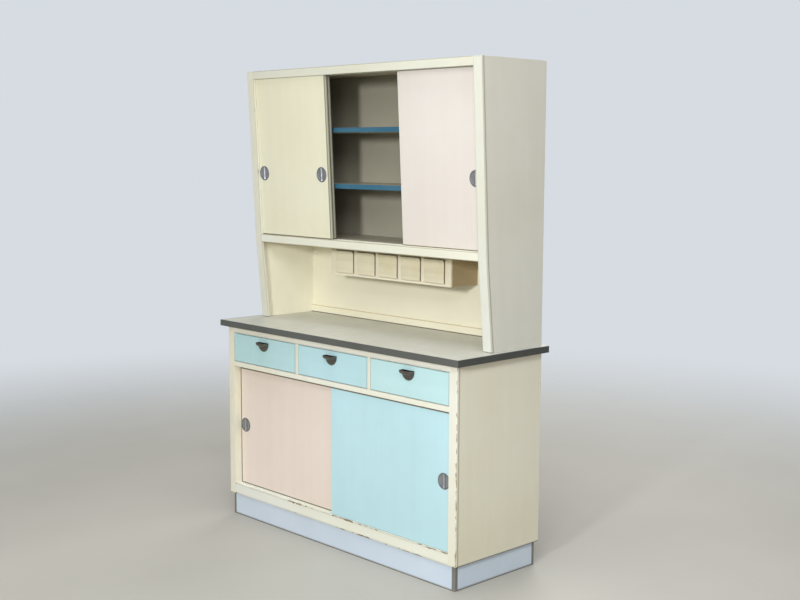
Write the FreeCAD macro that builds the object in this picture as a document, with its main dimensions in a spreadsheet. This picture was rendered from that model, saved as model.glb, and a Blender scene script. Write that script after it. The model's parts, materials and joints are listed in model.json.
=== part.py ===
"""Kitchen buffet of the 1950s: a base cupboard with three drawers over two sliding doors, a worktop
with a dark edge, and an upper cupboard with three sliding doors over an open niche in which five
pull-out scoops hang. The front of the upper cupboard leans forward above the niche.

Frame: millimetres, +Z up, +X to the right seen from the front, front faces towards -Y, and the origin
in the middle of the footprint on the floor.
"""
import FreeCAD, Part
import os
import re
import Sketcher

SIZES = (
    # Worktop: a board with a laminate sheet on top and an edge strip on three sides
    ("worktop_width", 1400.0),
    ("worktop_depth", 490.0),
    ("worktop_level", 845.0),
    ("worktop_thickness", 25.0),
    ("worktop_front_overhang", 24.0),
    ("worktop_back_overhang", 12.0),
    ("worktop_side_overhang", 26.0),
    ("laminate_thickness", 1.5),
    ("edge_strip_thickness", 6.0),
    # Plinth
    ("plinth_height", 93.0),
    ("plinth_front_setback", 10.0),
    ("plinth_side_setback", 12.0),
    ("plinth_back_setback", 8.0),
    ("plinth_board_thickness", 15.0),
    ("corner_strip_radius", 4.0),
    ("floor_strip_height", 4.0),
    # Panels used in both cupboards
    ("side_thickness", 18.0),
    ("back_thickness", 8.0),
    # Face frame and the door grooves in it
    ("frame_depth", 56.0),
    ("frame_lip", 10.0),
    ("groove_width", 18.0),
    ("groove_rib", 5.0),
    ("bottom_groove_depth", 8.0),
    ("top_groove_depth", 14.0),
    ("side_groove_depth", 6.5),
    ("cut_overrun", 2.0),
    # Sliding doors
    ("door_thickness", 17.0),
    ("door_lift_gap", 0.3),
    ("door_top_engagement", 5.0),
    ("door_side_engagement", 6.0),
    ("lower_door_overlap", 14.0),
    ("middle_door_overlap", 13.0),
    ("left_door_opened_by", 18.0),
    # Base cupboard: its width and depth follow from the worktop and its overhangs
    ("base_post_width", 38.0),
    ("base_sill_height", 45.0),
    ("lower_opening_height", 512.0),
    ("drawer_rail_height", 21.0),
    ("drawer_opening_height", 123.0),
    ("base_floor_thickness", 18.0),
    ("slim_rail_depth", 20.0),
    ("divider_width", 16.0),
    ("partition_thickness", 16.0),
    ("base_shelf_thickness", 18.0),
    ("base_shelf_rise", 252.0),
    ("base_shelf_front_gap", 18.0),
    ("shelf_end_gap", 0.5),
    ("batten_width", 16.0),
    ("batten_height", 16.0),
    # Drawers and the runners under them
    ("runner_width", 50.0),
    ("runner_height", 20.0),
    ("guide_height", 20.0),
    ("drawer_gap", 1.5),
    ("drawer_lift_gap", 0.3),
    ("drawer_front_thickness", 18.0),
    ("drawer_side_thickness", 12.0),
    ("drawer_side_height", 95.0),
    ("drawer_back_room", 35.0),
    ("drawer_bottom_thickness", 4.0),
    ("drawer_bottom_rise", 8.0),
    ("drawer_slot_depth", 5.0),
    # Cup pull of a drawer
    ("cup_drop", 19.0),
    ("cup_radius", 32.0),
    ("cup_height", 38.0),
    ("cup_depth", 23.0),
    ("cup_wall", 2.5),
    ("cup_flare_lead", 9.0),
    ("cup_flare_rise", 1.0),
    ("cup_foot_depth", 4.0),
    # Round finger pull of a door
    ("disc_radius", 30.5),
    ("disc_post_gap", 1.5),
    ("disc_seat_depth", 3.0),
    ("disc_proud", 1.2),
    ("disc_rim_width", 3.5),
    ("disc_dish_depth", 2.2),
    ("ridge_width", 5.0),
    ("ridge_proud", 3.0),
    ("upper_disc_rise", 260.0),
    # Upper cupboard: setbacks are measured from the front and the sides of the base cupboard
    ("upper_side_setback", 4.0),
    ("total_height", 1890.0),
    ("foot_setback", 179.0),
    ("kink_setback", 147.0),
    ("crown_setback", 108.0),
    ("kink_level", 1173.0),
    ("upper_back_setback", 8.0),
    ("upper_post_width", 40.0),
    ("upper_sill_height", 33.0),
    ("upper_crown_height", 32.0),
    ("upper_floor_thickness", 16.0),
    ("upper_top_thickness", 18.0),
    ("upper_shelf_frame_gap", 2.0),
    ("upper_shelf_thickness", 19.0),
    ("shelf_edging_thickness", 2.5),
    ("niche_strip_height", 32.0),
    ("niche_strip_thickness", 10.0),
    # Rack with five scoops under the upper cupboard
    ("rack_width", 700.0),
    ("rack_level", 1046.0),
    ("rack_setback", 300.0),
    ("rack_face_thickness", 8.0),
    ("rack_end_stile", 31.0),
    ("rack_mid_stile", 17.0),
    ("rack_board_thickness", 8.0),
    ("rack_opening_height", 96.0),
    ("rack_corner_radius", 8.0),
    ("scoop_gap", 3.0),
    ("scoop_lift_gap", 0.3),
    ("scoop_top_gap", 3.0),
    ("scoop_proud", 5.0),
    ("scoop_wall", 2.0),
    ("scoop_corner_radius", 7.0),
    ("scoop_bottom_depth", 105.0),
    ("scoop_top_depth", 138.0),
    ("scoop_lip_reach", 7.0),
    ("scoop_lip_thickness", 3.0),
)
DRAWERS = ("left", "middle", "right")
SCOOP_COUNT = 5

doc = FreeCAD.newDocument("buffet")
sheet = doc.addObject("Spreadsheet::Sheet", "Sizes")
for row, (alias, number) in enumerate(SIZES, start=1):
    sheet.set(f"A{row}", alias)
    sheet.set(f"B{row}", str(number))
    sheet.setAlias(f"B{row}", alias)
doc.recompute()

X_AXIS = FreeCAD.Vector(1, 0, 0)
Z_AXIS = FreeCAD.Vector(0, 0, 1)
nodes = []


def sized(text):
    """Point every size named in an expression at its cell."""
    return re.sub(r"[a-z]+(?:_[a-z]+)+", lambda found: "Sizes." + found.group(0), text)


def value(text):
    """What an expression gives with the present sizes."""
    return float(sheet.evalExpression(sized(text)))


def bind(item, **expressions):
    """Bind properties to expressions; x, y and z are the place of the object."""
    for name, text in expressions.items():
        path = f"Placement.Base.{name}" if name in ("x", "y", "z") else name
        item.setExpression(path, sized(text))


def box(name, x, y, z):
    """A block between two planes on each axis, each pair as (low, high)."""
    item = doc.addObject("Part::Box", name)
    item.Label = name
    bind(item, x=x[0], y=y[0], z=z[0])
    bind(item, Length=f"({x[1]}) - ({x[0]})")
    bind(item, Width=f"({y[1]}) - ({y[0]})")
    bind(item, Height=f"({z[1]}) - ({z[0]})")
    return item


def group(name, items):
    """Like pieces that share one node."""
    item = doc.addObject("Part::Compound", name)
    item.Label = name
    item.Links = items
    return item


def joined(name, items):
    """Several blocks glued or pressed into one piece."""
    item = doc.addObject("Part::MultiFuse", name)
    item.Label = name
    item.Shapes = items
    item.Refine = True
    return item


def cut(name, base, tool):
    """One piece with another's shape taken out of it."""
    item = doc.addObject("Part::Cut", name)
    item.Label = name
    item.Base = base
    item.Tool = tool
    return item


def cylinder(name, radius, length, rotation=FreeCAD.Rotation(), **place):
    """A round bar along its own Z axis, turned by rotation and then placed."""
    item = doc.addObject("Part::Cylinder", name)
    item.Label = name
    item.Placement = FreeCAD.Placement(FreeCAD.Vector(), rotation)
    bind(item, Radius=radius, Height=length, **place)
    return item


def sign(number):
    """Direction of a step along one axis: -1, 0 or 1."""
    return (number > 0) - (number < 0)


def corner_points(points):
    """Start points of an outline's edges; a rounded corner (x, y, radius) gives an arc's two ends."""
    flat = [(value(point[0]), value(point[1])) for point in points]
    edges = []
    for index, point in enumerate(points):
        x, y = point[0], point[1]
        if len(point) == 2:
            edges.append((x, y, None))
            continue
        before = flat[index - 1]
        after = flat[(index + 1) % len(points)]
        here = flat[index]
        come = (sign(here[0] - before[0]), sign(here[1] - before[1]))
        leave = (sign(after[0] - here[0]), sign(after[1] - here[1]))
        radius = point[2]
        enter = (f"({x}) - {come[0]} * ({radius})", f"({y}) - {come[1]} * ({radius})")
        exit_ = (f"({x}) + {leave[0]} * ({radius})", f"({y}) + {leave[1]} * ({radius})")
        centre = (f"{enter[0]} + {leave[0]} * ({radius})", f"{enter[1]} + {leave[1]} * ({radius})")
        edges.append((*enter, (*centre, radius)))
        edges.append((*exit_, None))
    return edges


def draw(body, plane, points, name):
    """A closed sketch on one of the body's origin planes, drawn anticlockwise, with every point bound."""
    sketch = body.newObject("Sketcher::SketchObject", name)
    planes = [item for item in body.Origin.OriginFeatures if item.Role == plane]
    sketch.AttachmentSupport = [(planes[0], "")]
    sketch.MapMode = "FlatFace"
    edges = corner_points(points)
    flat = [FreeCAD.Vector(value(edge[0]), value(edge[1]), 0) for edge in edges]
    count = len(edges)
    for index, edge in enumerate(edges):
        start, end = flat[index], flat[(index + 1) % count]
        if edge[2] is None:
            sketch.addGeometry(Part.LineSegment(start, end))
            continue
        centre = FreeCAD.Vector(value(edge[2][0]), value(edge[2][1]), 0)
        circle = Part.Circle(centre, Z_AXIS, value(edge[2][2]))
        sketch.addGeometry(Part.ArcOfCircle(circle, circle.parameter(start), circle.parameter(end)))
    for index, edge in enumerate(edges):
        sketch.addConstraint(Sketcher.Constraint("Coincident", index, 2, (index + 1) % count, 1))
        places = [("DistanceX", 1, edge[0]), ("DistanceY", 1, edge[1])]
        if edge[2] is not None:
            places.append(("DistanceX", 3, edge[2][0]))
        for kind, point, text in places:
            rule = Sketcher.Constraint(kind, -1, 1, index, point, value(text))
            number = sketch.addConstraint(rule)
            sketch.setExpression(f"Constraints[{number}]", sized(text))
    return sketch


def outline(name, plane, points, span):
    """A body: an outline in plane YZ, XZ or XY, padded between span's two planes across it."""
    body = doc.addObject("PartDesign::Body", name)
    body.Label = name
    sketch = draw(body, plane + "_Plane", points, name + "_sketch")
    pad = body.newObject("PartDesign::Pad", name + "_pad")
    pad.Profile = sketch
    bind(pad, Length=f"({span[1]}) - ({span[0]})")
    if plane == "YZ":
        bind(body, x=span[0])
    elif plane == "XZ":
        bind(body, y=span[1])
    else:
        bind(body, z=span[0])
    return body


def keep(*items):
    """Count finished pieces as nodes of the part."""
    nodes.extend(items)


# Planes that several pieces share, as expressions of the sizes
worktop_back = "(worktop_depth / 2)"
worktop_front = "(-worktop_depth / 2)"
worktop_underside = "(worktop_level - worktop_thickness)"
base_front = f"({worktop_front} + worktop_front_overhang)"
base_back = f"({worktop_back} - worktop_back_overhang)"
base_half = "(worktop_width / 2 - worktop_side_overhang)"
base_inner = f"({base_half} - side_thickness)"
base_clear = f"({base_half} - base_post_width)"
back_face = f"({base_back} - back_thickness)"
frame_back = f"({base_front} + frame_depth)"
base_sill = "(plinth_height + base_sill_height)"
drawer_rail_low = f"({base_sill} + lower_opening_height)"
drawer_rail_top = f"({drawer_rail_low} + drawer_rail_height)"
top_rail_low = f"({drawer_rail_top} + drawer_opening_height)"
upper_half = f"({base_half} - upper_side_setback)"
upper_inner = f"({upper_half} - side_thickness)"
upper_clear = f"({upper_half} - upper_post_width)"
upper_back = f"({worktop_back} - upper_back_setback)"
upper_back_face = f"({upper_back} - back_thickness)"
upper_sill = "(kink_level + upper_sill_height)"
upper_head = "(total_height - upper_crown_height)"


def both(half):
    """The pair of planes at equal distances left and right of the middle."""
    return (f"-({half})", half)


def on_side(side, near, far):
    """The pair of planes at two distances from the middle, on the left or the right."""
    return (near, far) if side == "right" else (f"-({far})", f"-({near})")


def upright(level):
    """Front plane of the base cupboard, the same at every level."""
    return base_front


def leaning(level):
    """Front plane of the upper cupboard above the niche, at a level."""
    lean = "(kink_setback - crown_setback) / (total_height - kink_level)"
    return f"({base_front} + kink_setback - (({level}) - kink_level) * {lean})"


foot_front = f"({base_front} + foot_setback)"
groove_step = "(groove_width + groove_rib)"

# Plinth: four boards between rounded corner strips, on a thin strip that meets the floor
plinth_left = f"(-{base_half} + plinth_side_setback)"
plinth_right = f"({base_half} - plinth_side_setback)"
plinth_front = f"({base_front} + plinth_front_setback)"
plinth_back = f"({base_back} - plinth_back_setback)"
plinth_span_x = (f"{plinth_left} + plinth_board_thickness", f"{plinth_right} - plinth_board_thickness")
plinth_span_y = (f"{plinth_front} + plinth_board_thickness", f"{plinth_back} - plinth_board_thickness")
plinth_sides = {
    "front": (plinth_span_x, (plinth_front, f"{plinth_front} + plinth_board_thickness")),
    "back": (plinth_span_x, (f"{plinth_back} - plinth_board_thickness", plinth_back)),
    "left": ((plinth_left, f"{plinth_left} + plinth_board_thickness"), plinth_span_y),
    "right": ((f"{plinth_right} - plinth_board_thickness", plinth_right), plinth_span_y),
}
board_span = ("floor_strip_height", "plinth_height")
boards = [box(f"plinth_{side}", *plan, board_span) for side, plan in plinth_sides.items()]
keep(group("plinth_boards", boards))


def plinth_corner(name, x, y, rounded):
    """A strip in one corner of the plinth, square as the boards are thick, its outer edge rounded."""
    points = [(x[0], y[0]), (x[1], y[0]), (x[1], y[1]), (x[0], y[1])]
    points[rounded] = (*points[rounded], "corner_strip_radius")
    return outline(name, "XY", points, ("0", "plinth_height"))


low_x = (plinth_left, plinth_span_x[0])
high_x = (plinth_span_x[1], plinth_right)
low_y = (plinth_front, plinth_span_y[0])
high_y = (plinth_span_y[1], plinth_back)
corners = [(low_x, low_y, 0), (high_x, low_y, 1), (high_x, high_y, 2), (low_x, high_y, 3)]
trim = [plinth_corner(f"plinth_corner_{number}", *corner) for number, corner in enumerate(corners, 1)]
strip_span = ("0", "floor_strip_height")
trim += [box(f"floor_strip_{side}", *plan, strip_span) for side, plan in plinth_sides.items()]
keep(group("plinth_trim", trim))


def post(name, x_lip, x_core, front, back, z):
    """A frame post of the base cupboard in plan: a lip over the edge of the side panel, and a core."""
    outer, inner, rebate = x_lip[0], x_core, x_lip[1]
    points = [(inner, front), (outer, front), (outer, f"{front} + frame_lip"),
              (rebate, f"{front} + frame_lip"), (rebate, back), (inner, back)]
    return outline(name, "XY", points if value(outer) > value(inner) else points[::-1], z)


def track_start(front, level, track):
    """Front face of the groove for the front (0) or the rear (1) door, at a level."""
    return f"{front(level)} + frame_lip + {track} * {groove_step}"


def rail(name, front, low, high, face, depth, x):
    """A rail across the opening, with two door grooves of one depth in its top or bottom face."""
    edge = high if face == "top" else low
    floor = f"({high}) - {depth}" if face == "top" else f"({low}) + {depth}"
    comb = [(front(edge), edge)]
    for track in (0, 1):
        for level, shift in ((edge, "0"), (floor, "0"), (floor, "groove_width"), (edge, "groove_width")):
            comb.append((f"{track_start(front, level, track)} + {shift}", level))
    comb.append((f"{front(edge)} + frame_depth", edge))
    if face == "top":
        comb = comb[::-1]
        points = [(front(low), low), (f"{front(low)} + frame_depth", low), *comb]
    else:
        points = [*comb, (f"{front(high)} + frame_depth", high), (front(high), high)]
    return outline(name, "YZ", points, x)


def side_groove(name, front, low, high, track, x):
    """The space that a door's closing edge takes in a post."""
    width = "groove_width"
    points = [(track_start(front, low, track), low), (f"{track_start(front, low, track)} + {width}", low),
              (f"{track_start(front, high, track)} + {width}", high), (track_start(front, high, track), high)]
    return outline(name, "YZ", points, x)


# Base cupboard: side panels, floor, back, face frame, drawer dividers, partition, shelves
base_span = ("plinth_height", worktop_underside)
panel_y = (f"{base_front} + frame_lip", base_back)
keep(box("base_side_left", (f"-{base_half}", f"-{base_inner}"), panel_y, base_span))
keep(box("base_side_right", (base_inner, base_half), panel_y, base_span))
floor_z = (f"{base_sill} - base_floor_thickness", base_sill)
keep(box("base_floor", both(base_inner), (frame_back, back_face), floor_z))
keep(box("base_back", both(base_inner), (back_face, base_back), base_span))

for side, turn, track in (("left", "-", 1), ("right", "", 0)):
    blank = post(f"base_post_{side}_blank", (f"{turn}{base_half}", f"{turn}{base_inner}"),
                 f"{turn}{base_clear}", base_front, frame_back, base_span)
    x = on_side(side, f"{base_clear} - cut_overrun", f"{base_clear} + side_groove_depth")
    slot_z = (f"{base_sill} - bottom_groove_depth", f"{drawer_rail_low} + top_groove_depth")
    slot = side_groove(f"base_slot_{side}", upright, *slot_z, track, x)
    keep(cut(f"base_post_{side}", blank, slot))

opening = both(base_clear)
keep(rail("base_sill_rail", upright, "plinth_height", base_sill, "top", "bottom_groove_depth", opening))
keep(rail("drawer_rail", upright, drawer_rail_low, drawer_rail_top, "bottom", "top_groove_depth", opening))
slim_y = (base_front, f"{base_front} + slim_rail_depth")
keep(box("base_top_rail", opening, slim_y, (top_rail_low, worktop_underside)))

drawer_opening = f"((2 * {base_clear} - 2 * divider_width) / 3)"
dividers = []
for index in (0, 1):
    low = f"(-{base_clear} + {drawer_opening} + {index} * ({drawer_opening} + divider_width))"
    span = (low, f"{low} + divider_width")
    dividers.append(box(f"divider_{index + 1}", span, slim_y, (drawer_rail_top, top_rail_low)))
keep(group("drawer_dividers", dividers))

half_partition = "(partition_thickness / 2)"
keep(box("base_partition", both(half_partition), (frame_back, back_face), (base_sill, drawer_rail_low)))
shelf_top = f"({base_sill} + base_shelf_rise)"
shelf_low = f"({shelf_top} - base_shelf_thickness)"
shelf_y = (f"{frame_back} + base_shelf_front_gap", back_face)
shelves = []
batten_z = (f"{shelf_low} - batten_height", shelf_low)
for side, near, far in (("left", f"-{base_inner}", f"-{half_partition}"),
                        ("right", half_partition, base_inner)):
    shelf_x = (f"{near} + shelf_end_gap", f"{far} - shelf_end_gap")
    shelves.append(box(f"base_shelf_{side}", shelf_x, shelf_y, (shelf_low, shelf_top)))
    shelves.append(box(f"base_batten_{side}_1", (near, f"{near} + batten_width"), shelf_y, batten_z))
    shelves.append(box(f"base_batten_{side}_2", (f"{far} - batten_width", far), shelf_y, batten_z))
keep(group("base_shelves", shelves))

# Drawer runners: a flat batten under each row end and divider, with a guide strip on it
runner_y = (frame_back, back_face)
runner_z = (f"{drawer_rail_top} - runner_height", drawer_rail_top)
guide_z = (drawer_rail_top, f"{drawer_rail_top} + guide_height")
divider_mid = f"({drawer_opening} / 2 + divider_width / 2)"
runners = []
for number, (mid_x, guide_half, low, high) in enumerate((
        (None, None, f"-{base_inner}", f"-{base_inner} + runner_width"),
        (f"-{divider_mid}", "divider_width / 2", None, None),
        (divider_mid, "divider_width / 2", None, None),
        (None, None, f"{base_inner} - runner_width", base_inner)), start=1):
    if mid_x is None:
        guide_x = (low, f"-{base_clear}") if number == 1 else (base_clear, high)
        runner_x = (low, high)
    else:
        guide_x = (f"{mid_x} - {guide_half}", f"{mid_x} + {guide_half}")
        runner_x = (f"{mid_x} - runner_width / 2", f"{mid_x} + runner_width / 2")
    runners.append(box(f"runner_{number}", runner_x, runner_y, runner_z))
    runners.append(box(f"guide_{number}", guide_x, runner_y, guide_z))
keep(group("drawer_runners", runners))

# Worktop: board, laminate sheet, and an edge strip mitred at the two front corners
board_x = both("worktop_width / 2 - edge_strip_thickness")
board_y = (f"{worktop_front} + edge_strip_thickness", worktop_back)
keep(box("worktop_board", board_x, board_y, (worktop_underside, "worktop_level - laminate_thickness")))
keep(box("worktop_surface", board_x, board_y, ("worktop_level - laminate_thickness", "worktop_level")))
edge_z = (worktop_underside, "worktop_level")
edge_out = both("worktop_width / 2")
front_edge = outline("edge_strip_front", "XY", [
    (edge_out[0], worktop_front), (edge_out[1], worktop_front),
    (board_x[1], board_y[0]), (board_x[0], board_y[0])], edge_z)
left_edge = outline("edge_strip_left", "XY", [
    (edge_out[0], worktop_front), (board_x[0], board_y[0]),
    (board_x[0], worktop_back), (edge_out[0], worktop_back)], edge_z)
right_edge = outline("edge_strip_right", "XY", [
    (edge_out[1], worktop_front), (edge_out[1], worktop_back),
    (board_x[1], worktop_back), (board_x[1], board_y[0])], edge_z)
keep(group("worktop_edge", [front_edge, left_edge, right_edge]))

# Upper cupboard: the side panels and posts run from the worktop past the niche to the top
upper_span = ("worktop_level", "total_height")


def standing_outline(front_shift, back):
    """Side view of a full-height upper piece, from a line behind the kinked front to its back."""
    foot = f"{foot_front} + {front_shift}"
    kink = f"{leaning('kink_level')} + {front_shift}"
    crown = f"{leaning('total_height')} + {front_shift}"
    if back is not None:
        rear = [(back, "worktop_level"), (back, "total_height")]
        return [(foot, "worktop_level"), *rear, (crown, "total_height"), (kink, "kink_level")]
    return [(foot, "worktop_level"), (f"{foot} + frame_lip", "worktop_level"),
            (f"{kink} + frame_lip", "kink_level"), (f"{crown} + frame_lip", "total_height"),
            (crown, "total_height"), (kink, "kink_level")]


def core_outline():
    """Side view of the part of an upper post behind its lip, which the niche has none of."""
    levels = ["kink_level", "total_height"]
    rear = [(f"{leaning(level)} + frame_depth", level) for level in levels]
    lip = [(f"{leaning(level)} + frame_lip", level) for level in levels]
    return [*rear, *lip[::-1]]


for side in ("left", "right"):
    panel = standing_outline("frame_lip", upper_back)
    keep(outline(f"upper_side_{side}", "YZ", panel, on_side(side, upper_inner, upper_half)))
    lip = outline(f"upper_post_{side}_lip", "YZ", standing_outline("0", None),
                  on_side(side, upper_clear, upper_half))
    core_x = on_side(side, upper_clear, upper_inner)
    core = outline(f"upper_post_{side}_core", "YZ", core_outline(), core_x)
    reach = on_side(side, f"{upper_clear} - cut_overrun", f"{upper_clear} + side_groove_depth")
    slot_z = (f"{upper_sill} - bottom_groove_depth", f"{upper_head} + top_groove_depth")
    slots = [side_groove(f"upper_slot_{side}_{track}", leaning, *slot_z, track, reach) for track in (0, 1)]
    blank = joined(f"upper_post_{side}_blank", [lip, core])
    keep(cut(f"upper_post_{side}", blank, group(f"upper_slots_{side}", slots)))

span = both(upper_clear)
keep(rail("upper_sill_rail", leaning, "kink_level", upper_sill, "top", "bottom_groove_depth", span))
keep(rail("upper_head_rail", leaning, upper_head, "total_height", "bottom", "top_groove_depth", span))


def behind_frame(name, low, high):
    """A board between the side panels, from the leaning frame to the back panel."""
    points = [(f"{leaning(low)} + frame_depth", low), (upper_back_face, low),
              (upper_back_face, high), (f"{leaning(high)} + frame_depth", high)]
    return outline(name, "YZ", points, both(upper_inner))


keep(behind_frame("upper_floor", f"{upper_sill} - upper_floor_thickness", upper_sill))
keep(behind_frame("upper_top", "total_height - upper_top_thickness", "total_height"))
keep(box("upper_back", both(upper_inner), (upper_back_face, upper_back), upper_span))
strip_y = (f"{upper_back_face} - niche_strip_thickness", upper_back_face)
strip_z = ("worktop_level", "worktop_level + niche_strip_height")
keep(box("niche_strip", both(upper_inner), strip_y, strip_z))

# Two shelves with a coloured edging, on battens screwed to the side panels, at equal spacings
shelf_space = f"(({upper_head} - {upper_sill} - 2 * upper_shelf_thickness) / 3)"
first_low = f"({upper_sill} + {shelf_space})"
shelf_front = f"({leaning(first_low)} + frame_depth + upper_shelf_frame_gap)"
shelf_x = both(f"{upper_inner} - shelf_end_gap")
shelf_depth = (f"{shelf_front} + shelf_edging_thickness", upper_back_face)
edging_depth = (shelf_front, f"{shelf_front} + shelf_edging_thickness")
shelves = []
edgings = []
battens = []
for number in (1, 2):
    top = f"({upper_sill} + {number} * ({shelf_space} + upper_shelf_thickness))"
    low = f"({top} - upper_shelf_thickness)"
    shelves.append(box(f"upper_shelf_{number}", shelf_x, shelf_depth, (low, top)))
    edgings.append(box(f"edging_{number}", shelf_x, edging_depth, (low, top)))
    for side, near in (("left", f"-{upper_inner}"), ("right", f"{upper_inner} - batten_width")):
        batten_x = (near, f"{near} + batten_width")
        name = f"upper_batten_{side}_{number}"
        battens.append(box(name, batten_x, shelf_depth, (f"{low} - batten_height", low)))
keep(group("upper_shelves", shelves), group("shelf_edgings", edgings))
keep(group("upper_shelf_battens", battens))


# Sliding doors, each with its round finger pulls
def disc_pull():
    """A dished metal disc with an upright ridge across it, in its own frame: +Z out of the door."""
    low = "-disc_seat_depth"
    disc = cylinder("disc_blank", "disc_radius", "disc_seat_depth + disc_proud", z=low)
    dish_floor = "(disc_proud - disc_dish_depth)"
    dish_radius = "(disc_radius - disc_rim_width)"
    dish = cylinder("disc_dish", dish_radius, "disc_dish_depth + cut_overrun", z=dish_floor)
    ridge_z = (f"({dish_floor} - disc_seat_depth) / 2", "ridge_proud")
    ridge = box("disc_ridge", both("ridge_width / 2"), both(dish_radius), ridge_z)
    return joined("disc_master", [cut("disc_dished", disc, dish), ridge])


disc_master = disc_pull()
lean_angle = "atan((kink_setback - crown_setback) / (total_height - kink_level))"


def on_door(item, front, track, x, level):
    """Put a piece drawn with +Z out of the door at a place on a door's face."""
    item.Placement = FreeCAD.Placement(FreeCAD.Vector(), FreeCAD.Rotation(X_AXIS, 90.0))
    play = "(groove_width - door_thickness) / 2"
    bind(item, x=x, y=f"{track_start(front, level, track)} + {play}", z=level)
    if front is leaning:
        item.setExpression("Placement.Rotation.Angle", sized(f"90 deg + {lean_angle}"))


def door(name, front, track, z, x, pulls, level):
    """A sliding door in the front (0) or the rear (1) track, with a disc at each of these places."""
    points = []
    for deep, height in (("0", z[0]), ("door_thickness", z[0]), ("door_thickness", z[1]), ("0", z[1])):
        play = "(groove_width - door_thickness) / 2"
        points.append((f"{track_start(front, height, track)} + {play} + {deep}", height))
    panel = outline(f"{name}_panel", "YZ", points, x)
    seats = []
    discs = []
    for number, place in enumerate(pulls, start=1):
        hole = cylinder(f"{name}_hole_{number}", "disc_radius", "disc_seat_depth + cut_overrun",
                        z="-disc_seat_depth")
        seats.append(group(f"{name}_seat_{number}", [hole]))
        discs.append(group(f"{name}_disc_{number}", [disc_master]))
        on_door(seats[-1], front, track, place, level)
        on_door(discs[-1], front, track, place, level)
    keep(cut(name, panel, group(f"{name}_seats", seats)))
    keep(group(f"{name}_pull", discs))


disc_inset = "(door_side_engagement + disc_post_gap + disc_radius)"
low_z = (f"{base_sill} - bottom_groove_depth + door_lift_gap", f"{drawer_rail_low} + door_top_engagement")
low_level = f"({base_sill} + lower_opening_height / 2)"
low_end = f"({base_clear} + door_side_engagement)"
door("lower_door_left", upright, 1, low_z, (f"-{low_end}", "lower_door_overlap"),
     [f"-{low_end} + {disc_inset}"], low_level)
door("lower_door_right", upright, 0, low_z, ("-lower_door_overlap", low_end),
     [f"{low_end} - {disc_inset}"], low_level)

high_z = (f"{upper_sill} - bottom_groove_depth + door_lift_gap", f"{upper_head} + door_top_engagement")
high_level = f"({upper_sill} + upper_disc_rise)"
high_end = f"({upper_clear} + door_side_engagement)"
third = f"(2 * {high_end} / 3)"
left_x = (f"-{high_end} + left_door_opened_by", f"-{high_end} + left_door_opened_by + {third}")
middle_x = (f"-{high_end}", f"-{high_end} + {third} + 2 * middle_door_overlap")
door("upper_door_left", leaning, 1, high_z, left_x, [f"{left_x[0]} + {disc_inset}"], high_level)
door("upper_door_middle", leaning, 0, high_z, middle_x,
     [f"{middle_x[0]} + {disc_inset}", f"{middle_x[1]} - {disc_inset}"], high_level)
door("upper_door_right", leaning, 1, high_z, (f"{high_end} - {third}", high_end),
     [f"{high_end} - {disc_inset}"], high_level)


# Drawers: a front, a box of two sides and a back, a thin bottom in slots, and a cup pull
def cup_half(name, radius, depth, y_back, z_top):
    """The lower half of a disc with a straight part above it, standing out of the drawer front."""
    mid = "(cup_radius - cup_height)"
    turn = FreeCAD.Rotation(X_AXIS, 90.0) * FreeCAD.Rotation(Z_AXIS, 180.0)
    half = cylinder(f"{name}_round", radius, f"({y_back}) + {depth}", turn, y=y_back, z=mid)
    half.Angle = 180.0
    straight = box(f"{name}_straight", both(radius), (f"-({depth})", y_back), (mid, z_top))
    return joined(f"{name}_blank", [half, straight])


def cup_flare(name, extra):
    """The round space below the lip of the cup, along X, a wall thickness larger for the inside."""
    turn = FreeCAD.Rotation(FreeCAD.Vector(0, 1, 0), 90.0)
    reach = "(cup_radius + cut_overrun)"
    radius = f"cup_depth + cup_flare_lead - cup_foot_depth + {extra}"
    return cylinder(name, radius, f"2 * {reach}", turn, x=f"-{reach}",
                    y="-cup_depth - cup_flare_lead", z="cup_flare_rise - cup_height")


def cup_pull():
    """A half-round cup, open at the top and at the back, its lip flared out of the drawer front."""
    outer = cup_half("cup_outer", "cup_radius", "cup_depth", "0", "0")
    inner = cup_half("cup_inner", "cup_radius - cup_wall", "cup_depth - cup_wall",
                     "cut_overrun", "cut_overrun")
    skin = cut("cup_skin", outer, cup_flare("cup_flare_outer", "0"))
    hollow = cut("cup_hollow", inner, cup_flare("cup_flare_inner", "cup_wall"))
    return cut("cup_master", skin, hollow)


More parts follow.
